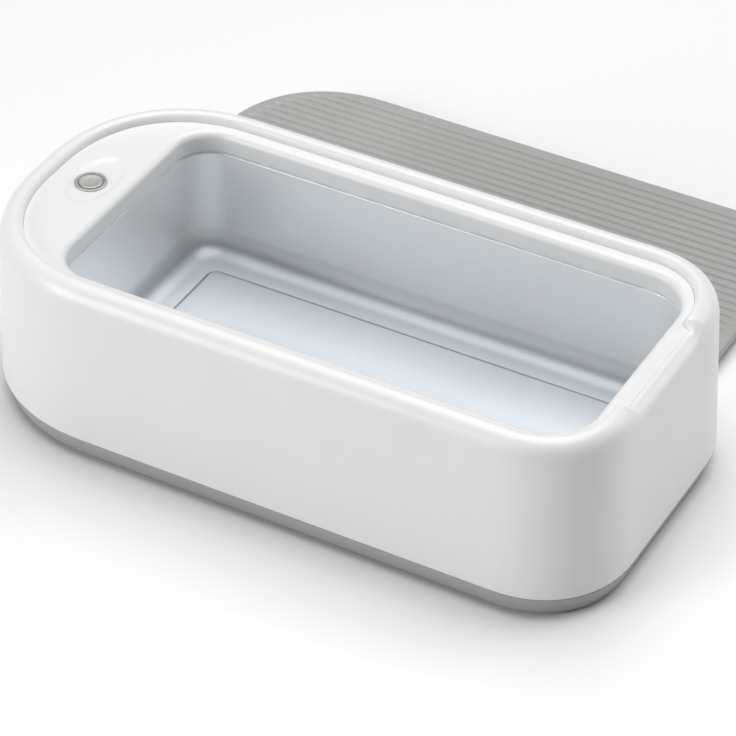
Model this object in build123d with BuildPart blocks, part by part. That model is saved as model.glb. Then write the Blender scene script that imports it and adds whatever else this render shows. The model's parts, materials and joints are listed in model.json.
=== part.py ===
from build123d import *
import os
from math import atan, cos, degrees, radians, sin

os.makedirs("parts", exist_ok=True)

# Ultrasonic cleaner, in millimetres. The body stands on Z = 0, centred on the origin, with its
# long side along X. The control end is at -X and the back, with the lid laid beside it, at +Y.

# ---- outer body ----
BODY_LENGTH = 200.0
BODY_WIDTH = 101.0
BODY_TOP = 56.5
LEFT_CORNER = 43.8
RIGHT_CORNER = 26.2
BAND_TOP = 7.3
BAND_INSET = 2.4
WALL_DRAFT = 2.14
WALL = 2.4
RIM_FILLET = 5.2
FOOT_PROUD = 0.8

# ---- lid recess, ledge and deck ----
RECESS_INSET = 8.7
RECESS_CHAMFER = 0.6
DECK_TOP = 54.0
DECK_THICKNESS = 2.2
DECK_GAP = 0.35
LEDGE_INSET = 9.9
LEDGE_THICKNESS = 2.0
SKIRT_THICKNESS = 1.5
SKIRT_BOTTOM = 48.0
NOTCH_WIDTH = 39.0
NOTCH_REACH = 2.7
NOTCH_CORNER = 1.2
MOUTH_CHAMFER = 1.2

# ---- tank ----
TANK_LEFT = -69.2
TANK_RIGHT = 88.1
TANK_HALF_WIDTH = 37.6
TANK_LEFT_CORNER = 11.0
TANK_RIGHT_CORNER = 14.0
TANK_FLOOR = 14.5
TANK_CLEAR = 0.2
TANK_DRAFT = 1.0
TANK_BOTTOM_FILLET = 5.5
SHEET = 0.6
FLANGE_WIDTH = 2.6
GASKET_THICKNESS = 1.0
STAMP_INSET = 11.0
STAMP_LINE = 0.8
STAMP_DEPTH = 0.25
STAMP_CORNER = 3.0
PAD_X = (-45.0, 64.0)
PAD_Y = 24.0
PAD_RADIUS = 4.5

# ---- button ----
BUTTON_X = -80.3
DISH_LENGTH = 24.0
DISH_WIDTH = 14.0
DISH_DEPTH = 0.6
DISH_SLOPE = 0.8
DISH_SHIFT_X = 0.8
DISH_SHIFT_Y = 1.0
CAP_RADIUS = 3.4
CAP_TOP = 53.9
CAP_FLANGE_RADIUS = 4.1
CAP_FLANGE_TOP = 50.55
CAP_FLANGE_BOTTOM = 49.6
GUIDE_INNER = 3.55
GUIDE_OUTER = 3.85
BEZEL_INNER = 3.9
BEZEL_BARREL = 4.15
BEZEL_RADIUS = 4.65
BEZEL_GAP = 0.05
BEZEL_CHAMFER = 0.2
COLLAR_BOTTOM = 50.85
SEAL_WIDTH = 2.4
GUIDE_SINK = 0.35
CAP_EDGE = 0.25
CAP_DISH_RADIUS = 15.0
CAP_DISH_DEPTH = 0.25
STEM_RADIUS = 1.5
STEM_BOTTOM = 47.5
PLUNGER_RADIUS = 1.2
PLUNGER_LENGTH = 2.2
PLUNGER_GAP = 0.3

# ---- electronics ----
CONTROL_BOARD_TOP = 43.0
CONTROL_BOARD_LENGTH = 14.0
CONTROL_BOARD_WIDTH = 28.0
BOARD_THICKNESS = 1.6
POST_Y = 11.0
POST_RADIUS = 2.4
POST_SCREW_RADIUS = 1.0
POST_SCREW_LENGTH = 6.0
SWITCH_SIZE = 6.0
SWITCH_HEIGHT = 3.4
SWITCH_WELL = 2.0
SWITCH_CHAMFER = 0.3
MICRO_Y = -6.0
MICRO_SIZE = 4.0
MICRO_HEIGHT = 0.9
MICRO_CHAMFER = 0.15
LED_SHIFT = 4.4
LED_LENGTH = 0.8
LED_WIDTH = 1.6
DRIVER_BOARD_X = -74.6
DRIVER_BOARD_BOTTOM = 4.0
DRIVER_BOARD_TOP = 39.0
DRIVER_BOARD_WIDTH = 60.0
RIBBON_BOTTOM = 38.5
RIBBON_THICKNESS = 0.6
RIBBON_WIDTH = 5.0
RIBBON_SHIFT = 2.2

# ---- driver board's parts, placed on the board by (Y, Z) ----
TRANSFORMER = (-5.0, 14.0)
CORE_WIDTH = 16.0
CORE_HEIGHT = 14.0
CORE_NEAR = 4.0
CORE_DEPTH = 7.0
CORE_LEG = 5.0
CORE_WINDOW = 3.2
CORE_YOKE = 2.0
COIL_NEAR = 1.4
COIL_FAR = 13.6
COIL_HEIGHT = 7.2
COIL_CORNER = 2.2
COIL_GAP = 0.2
BOBBIN_PLATE = 1.0
BOBBIN_GAP = 0.1
TOROID = (13.0, 14.0)
TOROID_OUTER = 6.6
TOROID_INNER = 3.2
TOROID_NEAR = 1.0
TOROID_DEPTH = 5.5
TURNS = 12
TURN_WIRE = 0.6
TURN_GAP = 0.1
CAPACITOR_Y = (14.0, 23.5)
CAPACITOR_Z = 31.0
CAPACITOR_RADIUS = 4.0
CAPACITOR_LENGTH = 12.0
CRIMP_NEAR = 1.6
CRIMP_WIDTH = 0.8
CRIMP_DEPTH = 0.3
CAPACITOR_SLOT_LENGTH = 5.0
CAPACITOR_SLOT_WIDTH = 0.4
FILM_CAPACITOR = (-22.0, 12.0)
FILM_WIDTH = 12.0
FILM_HEIGHT = 7.0
FILM_DEPTH = 6.0
FILM_CORNER = 0.8
HEATSINK = (-18.0, 29.5)
HEATSINK_WIDTH = 18.0
HEATSINK_HEIGHT = 15.0
HEATSINK_PLATE = 2.0
FIN_LENGTH = 5.6
FIN_THICKNESS = 1.2
FIN_COUNT = 5
TRANSISTOR_NEAR = 0.4
TRANSISTOR_DEPTH = 4.4
TRANSISTOR_SIZE = 8.6
TRANSISTOR_DROP = 2.5
TRANSISTOR_PITCH = 9.0
TAB_DEPTH = 1.3
TAB_HEIGHT = 5.0
TAB_RISE = 4.3
TAB_HOLE_RISE = 4.6
TAB_HOLE_RADIUS = 1.6
CHIP = (-1.0, 24.5)
CHIP_WIDTH = 5.0
CHIP_HEIGHT = 4.0
CHIP_DEPTH = 1.5
CHIP_CHAMFER = 0.2
POWER_SOCKET = 7.0
POWER_SOCKET_DEPTH = 6.0
POWER_SOCKET_WALL = 0.7
POWER_SOCKET_WELL = 4.5
RIBBON_SOCKET = (7.0, 37.0)
RIBBON_SOCKET_WIDTH = 6.0
RIBBON_SOCKET_HEIGHT = 3.0
RIBBON_SOCKET_DEPTH = 4.0

# ---- power jack, its axis along X through the control end's wall ----
JACK_Z = 31.0
JACK_GAP = 0.1
JACK_PIN_RADIUS = 1.05
JACK_PIN_RECESS = 1.0
JACK_PIN_CHAMFER = 0.3
JACK_BORE = 2.85
JACK_BORE_DEPTH = 9.5
JACK_BARREL = 3.9
JACK_MOUTH = -98.6
JACK_END = -85.0
JACK_BODY_LENGTH = 6.0
JACK_BODY_WIDTH = 9.0
JACK_BODY_HEIGHT = 10.0
JACK_NUT_X = -96.0
JACK_NUT_LENGTH = 2.0
JACK_NUT_RADIUS = 6.0
JACK_NUT_GAP = 0.05
JACK_WIRE_RADIUS = 0.7
JACK_WIRE_Y = 2.0
JACK_WIRE_ENTRY = 1.4

# ---- transducer ----
TANK_MIDDLE = (TANK_LEFT + TANK_RIGHT) / 2
DISC_RADIUS = 20.0
DISC_THICKNESS = 3.0
BOND_THICKNESS = 0.5
BOND_MARGIN = 0.4
DISC_CHAMFER = 0.3
THERMISTOR = (-30.0, 12.0)
THERMISTOR_RADIUS = 3.0
THERMISTOR_HEIGHT = 2.0
THERMISTOR_CHAMFER = 0.5
FERRITE_CENTRE = (-52.0, -14.0, 7.5)
FERRITE_ANGLE = 5.35
FERRITE_LENGTH = 14.0
FERRITE_RADIUS = 4.0
FERRITE_BORE = 2.0
FERRITE_CHAMFER = 0.4
WIRE_RADIUS = 0.65
WIRE_SPACING = 1.5
WIRE_GAP = 0.1
WIRE_RISE = 22.0
WIRE_BEND = 6.0
SOLDER_START = 44.0
SOLDER_END = 52.0
SOLDER_SPREAD = 3.0

# ---- lid ----
LID_THICKNESS = 3.0
LID_GAP = 0.45
LID_SKIRT_HEIGHT = 3.0
LID_SKIRT_GAP = 0.7
LID_SKIRT_WALL = 1.6
LID_EDGE = 0.5
LID_REST_X = -9.0
LID_REST_Y = 96.1
LID_BRACE_HEIGHT = 1.6
LID_BRACE_WIDTH = 1.2
LID_BRACE_PITCH = 36.0
LID_BRACE_COUNT = 4
LID_BRACE_BITE = 0.5
RIB_PITCH = 3.18
RIB_COUNT = 24
RIB_GROOVE = 1.5
RIB_DEPTH = 0.5
RIB_BORDER = 4.0

# ---- screws ----
THREAD_BITE = 0.05
BASE_BOSS_RADIUS = 2.7
BASE_BOSS_BOTTOM = 5.5
BASE_BOSS_TOP = 30.0
BASE_SCREW_RADIUS = 1.25
BASE_SCREW_LENGTH = 14.0
BASE_HEAD_RADIUS = 2.4
BASE_HEAD_HEIGHT = 1.6
BASE_SLOT_LENGTH = 2.8
BASE_SLOT_WIDTH = 0.6
BASE_SLOT_DEPTH = 0.9
WEB_THICKNESS = 2.0
WEB_CLEARANCE = 3.6
RIGHT_BOSS_DISTANCE = 18.2
RIGHT_BOSS_ANGLE = 44.0
LEFT_BOSS_DISTANCE = 37.0
LEFT_BOSS_ANGLE = 122.0
CLAMP_BOSS_Y = 43.2
CLAMP_BOSS_RADIUS = 2.2
CLAMP_SCREW_RADIUS = 1.1
CLAMP_SCREW_LENGTH = 5.0
CLAMP_PILOT_DEPTH = 4.0
SMALL_HEAD_RADIUS = 1.9
SMALL_HEAD_HEIGHT = 1.5
SMALL_SLOT_LENGTH = 2.2
SMALL_SLOT_WIDTH = 0.5
SMALL_SLOT_DEPTH = 0.8
CLAMP_THICKNESS = 1.5
CLAMP_WIDTH = 8.0
CLAMP_INNER_Y = 38.9
CLAMP_OUTER_Y = 45.3
CLAMP_X = (-40.0, 10.0, 60.0)

# ---- base ----
BASE_FLOOR = 2.0
LIP_HEIGHT = 3.0
LIP_ROOT = 1.5
LIP_GAP = 0.25
LIP_THICKNESS = 2.15
COLUMN_WALL = 0.9
HEAD_CLEARANCE = 0.3
SCREW_CLEARANCE = 0.25
VENT_LENGTH = 16.0
VENT_WIDTH = 2.0
VENT_PITCH = 4.5
VENT_ROW_PITCH = 26.0
VENT_X = -72.5
BOARD_POST_HEIGHT = 14.0
BOARD_POST_LENGTH = 5.0
BOARD_POST_WIDTH = 4.0
BOARD_SLOT_GAP = 0.2
FOOT_RING_INSET = 12.0
FOOT_RING_WIDTH = 4.0
FOOT_RING_SINK = 0.8
FOOT_RING_GAP = 0.1
FOOT_RING_CHAMFER = 0.3

# ---- worked out from the above ----
DRAFT_ANGLE = degrees(atan(WALL_DRAFT / (BODY_TOP - BAND_TOP)))
BAND_ANGLE = degrees(atan(BAND_INSET / (BAND_TOP - FOOT_PROUD)))
TANK_ANGLE = degrees(atan(TANK_DRAFT / (SKIRT_BOTTOM - TANK_FLOOR)))
DECK_BOTTOM = DECK_TOP - DECK_THICKNESS
LEDGE_BOTTOM = DECK_BOTTOM - LEDGE_THICKNESS
FLANGE_TOP = SKIRT_BOTTOM - GASKET_THICKNESS
FLANGE_BOTTOM = FLANGE_TOP - SHEET
CLAMP_BOTTOM = FLANGE_BOTTOM - CLAMP_THICKNESS
TANK_UNDERSIDE = TANK_FLOOR - SHEET
DISC_TOP = TANK_UNDERSIDE - BOND_THICKNESS
DISC_BOTTOM = DISC_TOP - DISC_THICKNESS
DISH_FLOOR = DECK_TOP - DISH_DEPTH

# A plan is its low X, high X, half width, and the radii of its left and right corners.
BODY = (-BODY_LENGTH / 2, BODY_LENGTH / 2, BODY_WIDTH / 2, LEFT_CORNER, RIGHT_CORNER)
TANK = (TANK_LEFT, TANK_RIGHT, TANK_HALF_WIDTH, TANK_LEFT_CORNER, TANK_RIGHT_CORNER)


def rounded_plan(plane, shape, inset=0.0):
    """A plan with its own left and right corner radii, moved in by inset or out by a negative one."""
    x_low, x_high, half_width, left_radius, right_radius = shape
    with BuildSketch(plane) as plan:
        with Locations(((x_low + x_high) / 2, 0)):
            Rectangle(x_high - x_low - 2 * inset, 2 * (half_width - inset))
        fillet(plan.vertices().group_by(Axis.X)[0], left_radius - inset)
        fillet(plan.vertices().group_by(Axis.X)[-1], right_radius - inset)
    return plan.sketch


def level(height):
    """The horizontal plane at a height."""
    return Plane.XY.offset(height)


def disc(plane, radius, places=((0, 0),)):
    """A circle at each place on a plane."""
    with BuildSketch(plane) as circles:
        with Locations(*places):
            Circle(radius)
    return circles.sketch


def block(plane, length, width, places=((0, 0),)):
    """A rectangle at each place on a plane."""
    with BuildSketch(plane) as rectangles:
        with Locations(*places):
            Rectangle(length, width)
    return rectangles.sketch


def cross(plane, length, width, places):
    """The cross slot of a screw's head at each place."""
    with BuildSketch(plane) as slots:
        with Locations(*places):
            Rectangle(length, width)
            Rectangle(width, length)
    return slots.sketch


def jack_plane_at(x):
    """The plane across the power jack's axis at X, facing the inside of the body."""
    return Plane(origin=(x, 0, JACK_Z), x_dir=(0, 1, 0), z_dir=(1, 0, 0))


def notch_plan(gap):
    """The finger notch at the right end, seen from above, made smaller all round by a gap."""
    with BuildSketch(level(DECK_BOTTOM)) as notch:
        with Locations((BODY_LENGTH / 2 - RECESS_INSET - gap, 0)):
            Rectangle(2 * NOTCH_REACH, NOTCH_WIDTH - 2 * gap)
        fillet(notch.vertices(), NOTCH_CORNER - gap)
    return notch.sketch


def base_boss_places():
    """The base screws stand inside the four rounded corners: (x, y, outward angle, web length)."""
    places = []
    for corner_x, radius, distance, angle in (
        (BODY_LENGTH / 2 - RIGHT_CORNER, RIGHT_CORNER, RIGHT_BOSS_DISTANCE, RIGHT_BOSS_ANGLE),
        (LEFT_CORNER - BODY_LENGTH / 2, LEFT_CORNER, LEFT_BOSS_DISTANCE, LEFT_BOSS_ANGLE),
    ):
        corner_y = BODY_WIDTH / 2 - radius
        web = radius - 0.5 * WALL_DRAFT - 0.4 * WALL - distance
        x = corner_x + distance * cos(radians(angle))
        y = corner_y + distance * sin(radians(angle))
        places += [(x, y, angle, web), (x, -y, -angle, web)]
    return places


BASE_BOSSES = base_boss_places()
BASE_SCREW_PLACES = [(x, y) for x, y, angle, web in BASE_BOSSES]
CLAMP_PLACES = [(x, side * CLAMP_BOSS_Y) for x in CLAMP_X for side in (1, -1)]
BASE_FLOOR_TOP = FOOT_PROUD + BASE_FLOOR
BASE_HEAD_TOP = FOOT_PROUD + 2 * BASE_HEAD_HEIGHT
BUTTON = [(BUTTON_X, 0.0)]
POST_PLACES = [(BUTTON_X, POST_Y), (BUTTON_X, -POST_Y)]
SWITCH_TOP = CONTROL_BOARD_TOP + SWITCH_HEIGHT
SCREW_FACE = CONTROL_BOARD_TOP - BOARD_THICKNESS
PAD_PLACES = [(x, side * PAD_Y) for x in PAD_X for side in (1, -1)]
CAPACITORS = [(y, CAPACITOR_Z) for y in CAPACITOR_Y]
COIL_WIDTH = CORE_LEG + 2 * CORE_WINDOW - 2 * COIL_GAP
TRANSISTORS = [(HEATSINK[0] + side * TRANSISTOR_PITCH / 2, HEATSINK[1]) for side in (1, -1)]
LID_TOP = LID_SKIRT_HEIGHT + LID_THICKNESS
LID_INSET = RECESS_INSET + LID_GAP


# ---------------------------------------------------------------- outer shell
with BuildPart() as outer_housing:
    extrude(rounded_plan(level(BAND_TOP), BODY), amount=BODY_TOP - BAND_TOP, taper=DRAFT_ANGLE)
    fillet(outer_housing.edges().group_by(Axis.Z)[-1], RIM_FILLET)
    inside = rounded_plan(level(BAND_TOP), BODY, WALL)
    extrude(inside, amount=LEDGE_BOTTOM - BAND_TOP, taper=DRAFT_ANGLE, mode=Mode.SUBTRACT)
    # ledge that carries the deck, then the lid recess with its broken edge
    ledge_opening = rounded_plan(level(LEDGE_BOTTOM), BODY, LEDGE_INSET)
    extrude(ledge_opening, amount=LEDGE_THICKNESS, mode=Mode.SUBTRACT)
    recess = rounded_plan(level(DECK_BOTTOM), BODY, RECESS_INSET)
    extrude(recess, amount=BODY_TOP - DECK_BOTTOM, mode=Mode.SUBTRACT)
    recess_mouth = rounded_plan(level(BODY_TOP), BODY, RECESS_INSET - RECESS_CHAMFER)
    extrude(recess_mouth, amount=-RECESS_CHAMFER, taper=45, mode=Mode.SUBTRACT)
    # finger notch at the right end, where the rim drops to the deck's level
    extrude(notch_plan(0.0), amount=BODY_TOP - DECK_BOTTOM, mode=Mode.SUBTRACT)
    low_rim = block(level(DECK_TOP), 2 * RECESS_INSET, NOTCH_WIDTH, [(BODY_LENGTH / 2, 0)])
    extrude(low_rim, amount=BODY_TOP - DECK_TOP, mode=Mode.SUBTRACT)
    # bosses for the base screws, each joined to its corner by a web
    for boss_x, boss_y, boss_angle, web_length in BASE_BOSSES:
        boss_height = BASE_BOSS_TOP - BASE_BOSS_BOTTOM
        extrude(disc(level(BASE_BOSS_BOTTOM), BASE_BOSS_RADIUS, [(boss_x, boss_y)]), amount=boss_height)
        web_origin = (boss_x, boss_y, BAND_TOP + WEB_CLEARANCE)
        web_plane = Plane(origin=web_origin, z_dir=(0, 0, 1)).rotated((0, 0, boss_angle))
        web_height = BASE_BOSS_TOP - BAND_TOP - WEB_CLEARANCE
        web = block(web_plane, web_length, WEB_THICKNESS, [(web_length / 2, 0)])
        extrude(web, amount=web_height)
    pilot = disc(level(BASE_BOSS_BOTTOM), BASE_SCREW_RADIUS + THREAD_BITE, BASE_SCREW_PLACES)
    extrude(pilot, amount=BASE_SCREW_LENGTH, mode=Mode.SUBTRACT)
    # bosses under the ledge for the tank clamps
    extrude(disc(level(FLANGE_BOTTOM), CLAMP_BOSS_RADIUS, CLAMP_PLACES), amount=LEDGE_BOTTOM - FLANGE_BOTTOM)
    clamp_pilot = disc(level(FLANGE_BOTTOM), CLAMP_SCREW_RADIUS + THREAD_BITE, CLAMP_PLACES)
    extrude(clamp_pilot, amount=CLAMP_PILOT_DEPTH, mode=Mode.SUBTRACT)
    # round hole for the power jack at the control end
    jack_hole = disc(jack_plane_at(-BODY_LENGTH / 2), JACK_BARREL + JACK_GAP)
    extrude(jack_hole, amount=3 * WALL, mode=Mode.SUBTRACT)

outer_housing.part.label = "outer_housing"
export_step(outer_housing.part, "parts/outer_housing.step")

# ---------------------------------------------------------------- top deck
with BuildPart() as top_deck:
    extrude(rounded_plan(level(DECK_BOTTOM), BODY, RECESS_INSET + DECK_GAP), amount=DECK_THICKNESS)
    extrude(notch_plan(DECK_GAP), amount=DECK_THICKNESS)
    skirt = rounded_plan(level(SKIRT_BOTTOM), TANK, -SKIRT_THICKNESS)
    extrude(skirt, amount=DECK_BOTTOM - SKIRT_BOTTOM)
    extrude(rounded_plan(level(SKIRT_BOTTOM), TANK), amount=DECK_TOP - SKIRT_BOTTOM, mode=Mode.SUBTRACT)
    mouth = rounded_plan(level(DECK_TOP), TANK, -MOUTH_CHAMFER)
    extrude(mouth, amount=-MOUTH_CHAMFER, taper=45, mode=Mode.SUBTRACT)
    # shallow oval dish around the button
    for height, inset in ((DECK_TOP, 0.0), (DISH_FLOOR, DISH_SLOPE)):
        with BuildSketch(level(height)) as dish:
            with Locations((BUTTON_X + DISH_SHIFT_X, DISH_SHIFT_Y)):
                Ellipse(DISH_WIDTH / 2 - inset, DISH_LENGTH / 2 - inset)
    loft(mode=Mode.SUBTRACT)
    bezel_hole = disc(level(DISH_FLOOR), BEZEL_BARREL + BEZEL_GAP, BUTTON)
    extrude(bezel_hole, amount=-2 * DECK_THICKNESS, mode=Mode.SUBTRACT)
    # posts for the control board
    extrude(disc(level(CONTROL_BOARD_TOP), POST_RADIUS, POST_PLACES), amount=DECK_BOTTOM - CONTROL_BOARD_TOP)
    post_pilot = disc(level(CONTROL_BOARD_TOP), POST_SCREW_RADIUS + THREAD_BITE, POST_PLACES)
    extrude(post_pilot, amount=POST_SCREW_LENGTH, mode=Mode.SUBTRACT)

top_deck.part.label = "top_deck"
export_step(top_deck.part, "parts/top_deck.step")

# ---------------------------------------------------------------- base cover
with BuildPart() as base_cover:
    extrude(rounded_plan(level(BAND_TOP), BODY), amount=-(BAND_TOP - FOOT_PROUD), taper=BAND_ANGLE)
    hollow = rounded_plan(level(BASE_FLOOR_TOP), BODY, BAND_INSET + WALL)
    extrude(hollow, amount=BAND_TOP - BASE_FLOOR_TOP, mode=Mode.SUBTRACT)
    # locating lip that enters the outer shell
    lip = rounded_plan(level(BAND_TOP - LIP_ROOT), BODY, WALL + LIP_GAP)
    extrude(lip, amount=LIP_ROOT + LIP_HEIGHT)
    lip_hollow = rounded_plan(level(BAND_TOP - LIP_ROOT), BODY, WALL + LIP_GAP + LIP_THICKNESS)
    extrude(lip_hollow, amount=LIP_ROOT + LIP_HEIGHT, mode=Mode.SUBTRACT)
    around_bosses = disc(level(BASE_BOSS_BOTTOM), BASE_BOSS_RADIUS + HEAD_CLEARANCE, BASE_SCREW_PLACES)
    extrude(around_bosses, amount=BAND_TOP, mode=Mode.SUBTRACT)
    # columns under the shell's bosses, with sunk screw heads
    columns = disc(level(BASE_FLOOR_TOP), BASE_BOSS_RADIUS + COLUMN_WALL, BASE_SCREW_PLACES)
    extrude(columns, amount=BASE_BOSS_BOTTOM - BASE_FLOOR_TOP)
    clear = disc(level(FOOT_PROUD), BASE_SCREW_RADIUS + SCREW_CLEARANCE, BASE_SCREW_PLACES)
    extrude(clear, amount=BASE_BOSS_BOTTOM, mode=Mode.SUBTRACT)
    sink = disc(level(FOOT_PROUD), BASE_HEAD_RADIUS + HEAD_CLEARANCE, BASE_SCREW_PLACES)
    extrude(sink, amount=BASE_HEAD_TOP - FOOT_PROUD, mode=Mode.SUBTRACT)
    # seat of the rubber foot ring
    seat = rounded_plan(level(FOOT_PROUD), BODY, FOOT_RING_INSET - FOOT_RING_GAP)
    seat_island = rounded_plan(level(FOOT_PROUD), BODY, FOOT_RING_INSET + FOOT_RING_WIDTH + FOOT_RING_GAP)
    extrude(seat - seat_island, amount=FOOT_RING_SINK, mode=Mode.SUBTRACT)
    # vents under the driver board
    with BuildSketch(level(FOOT_PROUD)) as vents:
        with Locations((VENT_X, 0)):
            with GridLocations(VENT_PITCH, VENT_ROW_PITCH, 3, 2):
                SlotOverall(VENT_LENGTH, VENT_WIDTH, rotation=90)
    extrude(vents.sketch, amount=BASE_FLOOR, mode=Mode.SUBTRACT)
    # slotted posts that hold the driver board's two edges
    board_x = DRIVER_BOARD_X + BOARD_THICKNESS / 2
    board_posts = [(board_x, side * (DRIVER_BOARD_WIDTH / 2 + 2 * BOARD_SLOT_GAP)) for side in (1, -1)]
    posts_plan = block(level(BASE_FLOOR_TOP), BOARD_POST_LENGTH, BOARD_POST_WIDTH, board_posts)
    extrude(posts_plan, amount=BOARD_POST_HEIGHT)
    slot_width = DRIVER_BOARD_WIDTH + BOARD_SLOT_GAP
    slot_plane = level(DRIVER_BOARD_BOTTOM)
    board_slot = block(slot_plane, BOARD_THICKNESS + BOARD_SLOT_GAP, slot_width, [(board_x, 0)])
    extrude(board_slot, amount=BOARD_POST_HEIGHT, mode=Mode.SUBTRACT)

base_cover.part.label = "base_cover"
export_step(base_cover.part, "parts/base_cover.step")

# ---------------------------------------------------------------- tank
with BuildPart() as tank_hollow:
    hollow_top = rounded_plan(level(FLANGE_TOP), TANK, -TANK_CLEAR)
    extrude(hollow_top, amount=-(FLANGE_TOP - TANK_FLOOR), taper=TANK_ANGLE)
    fillet(tank_hollow.edges().group_by(Axis.Z)[0], TANK_BOTTOM_FILLET)

with BuildPart() as cleaning_tank:
    tank_top = rounded_plan(level(FLANGE_BOTTOM), TANK, -TANK_CLEAR - SHEET)
    extrude(tank_top, amount=-(FLANGE_BOTTOM - TANK_UNDERSIDE), taper=TANK_ANGLE)
    fillet(cleaning_tank.edges().group_by(Axis.Z)[0], TANK_BOTTOM_FILLET + SHEET)
    extrude(rounded_plan(level(FLANGE_BOTTOM), TANK, -FLANGE_WIDTH), amount=SHEET)
    add(tank_hollow.part, mode=Mode.SUBTRACT)
    # stamped line around the floor panel
    stamp_corner = STAMP_INSET + STAMP_CORNER
    stamp_shape = (TANK_LEFT, TANK_RIGHT, TANK_HALF_WIDTH, stamp_corner, stamp_corner)
    stamp = rounded_plan(level(TANK_FLOOR), stamp_shape, STAMP_INSET)
    stamp_island = rounded_plan(level(TANK_FLOOR), stamp_shape, STAMP_INSET + STAMP_LINE)
    extrude(stamp - stamp_island, amount=-STAMP_DEPTH, mode=Mode.SUBTRACT)

cleaning_tank.part.label = "cleaning_tank"
export_step(cleaning_tank.part, "parts/cleaning_tank.step")

with BuildPart() as tank_gasket:
    extrude(rounded_plan(level(FLANGE_TOP), TANK, -FLANGE_WIDTH + TANK_CLEAR), amount=GASKET_THICKNESS)
    gasket_hole = rounded_plan(level(FLANGE_TOP), TANK, -TANK_CLEAR)
    extrude(gasket_hole, amount=GASKET_THICKNESS, mode=Mode.SUBTRACT)

tank_gasket.part.label = "tank_gasket"
export_step(tank_gasket.part, "parts/tank_gasket.step")

with BuildPart() as tank_clamps:
    clamp_y = (CLAMP_INNER_Y + CLAMP_OUTER_Y) / 2
    clamp_middles = [(x, side * clamp_y) for x in CLAMP_X for side in (1, -1)]
    clamp_plan = block(level(CLAMP_BOTTOM), CLAMP_WIDTH, CLAMP_OUTER_Y - CLAMP_INNER_Y, clamp_middles)
    extrude(clamp_plan, amount=CLAMP_THICKNESS)
    clamp_holes = disc(level(CLAMP_BOTTOM), CLAMP_SCREW_RADIUS + SCREW_CLEARANCE, CLAMP_PLACES)
    extrude(clamp_holes, amount=CLAMP_THICKNESS, mode=Mode.SUBTRACT)

tank_clamps.part.label = "tank_clamps"
export_step(tank_clamps.part, "parts/tank_clamps.step")

with BuildPart() as clamp_screws:
    clamp_head_plane = level(CLAMP_BOTTOM - SMALL_HEAD_HEIGHT)
    extrude(disc(clamp_head_plane, SMALL_HEAD_RADIUS, CLAMP_PLACES), amount=SMALL_HEAD_HEIGHT)
    extrude(disc(level(CLAMP_BOTTOM), CLAMP_SCREW_RADIUS, CLAMP_PLACES), amount=CLAMP_SCREW_LENGTH)
    clamp_slots = cross(clamp_head_plane, SMALL_SLOT_LENGTH, SMALL_SLOT_WIDTH, CLAMP_PLACES)
    extrude(clamp_slots, amount=SMALL_SLOT_DEPTH, mode=Mode.SUBTRACT)

clamp_screws.part.label = "clamp_screws"
export_step(clamp_screws.part, "parts/clamp_screws.step")

with BuildPart() as tank_support_pads:
    extrude(disc(level(BASE_FLOOR_TOP), PAD_RADIUS, PAD_PLACES), amount=TANK_UNDERSIDE - BASE_FLOOR_TOP)

tank_support_pads.part.label = "tank_support_pads"
export_step(tank_support_pads.part, "parts/tank_support_pads.step")

# ---------------------------------------------------------------- transducer
with BuildPart() as transducer_bond:
    extrude(disc(level(DISC_TOP), DISC_RADIUS + BOND_MARGIN, [(TANK_MIDDLE, 0)]), amount=BOND_THICKNESS)

transducer_bond.part.label = "transducer_bond"
export_step(transducer_bond.part, "parts/transducer_bond.step")

with BuildPart() as transducer_disc:
    extrude(disc(level(DISC_BOTTOM), DISC_RADIUS, [(TANK_MIDDLE, 0)]), amount=DISC_THICKNESS)
    chamfer(transducer_disc.edges().group_by(Axis.Z)[0], DISC_CHAMFER)

transducer_disc.part.label = "transducer_disc"
export_step(transducer_disc.part, "parts/transducer_disc.step")

with BuildPart() as tank_thermistor:
    extrude(disc(level(TANK_UNDERSIDE), THERMISTOR_RADIUS, [THERMISTOR]), amount=-THERMISTOR_HEIGHT)
    chamfer(tank_thermistor.edges().group_by(Axis.Z)[0], THERMISTOR_CHAMFER)

tank_thermistor.part.label = "tank_thermistor"
export_step(tank_thermistor.part, "parts/tank_thermistor.step")

# The transducer's two wires run along a line through the ferrite sleeve, then rise to the disc.
SLEEVE_X = cos(radians(FERRITE_ANGLE))
SLEEVE_Y = sin(radians(FERRITE_ANGLE))


def beside_sleeve(along, height, across=0.0):
    """The point at a distance along the ferrite sleeve's axis from its centre."""
    x = FERRITE_CENTRE[0] + along * SLEEVE_X - across * SLEEVE_Y
    y = FERRITE_CENTRE[1] + along * SLEEVE_Y + across * SLEEVE_X
    return (x, y, height)


with BuildPart() as transducer_wires:
    solder_height = DISC_BOTTOM - WIRE_RADIUS
    for side in (1, -1):
        run_height = FERRITE_CENTRE[2] + side * WIRE_SPACING / 2
        first_run = (DRIVER_BOARD_X + BOARD_THICKNESS + WIRE_GAP - FERRITE_CENTRE[0]) / SLEEVE_X
        with BuildLine() as wire_route:
            FilletPolyline(
                beside_sleeve(first_run, run_height),
                beside_sleeve(WIRE_RISE, run_height),
                beside_sleeve(SOLDER_START, solder_height, side * SOLDER_SPREAD),
                beside_sleeve(SOLDER_END, solder_height, side * SOLDER_SPREAD),
                radius=WIRE_BEND,
            )
        with BuildSketch(Plane(origin=wire_route.line @ 0, z_dir=wire_route.line % 0)) as wire_section:
            Circle(WIRE_RADIUS)
        sweep(sections=wire_section.sketch, path=wire_route.line)

transducer_wires.part.label = "transducer_wires"
export_step(transducer_wires.part, "parts/transducer_wires.step")

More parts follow.
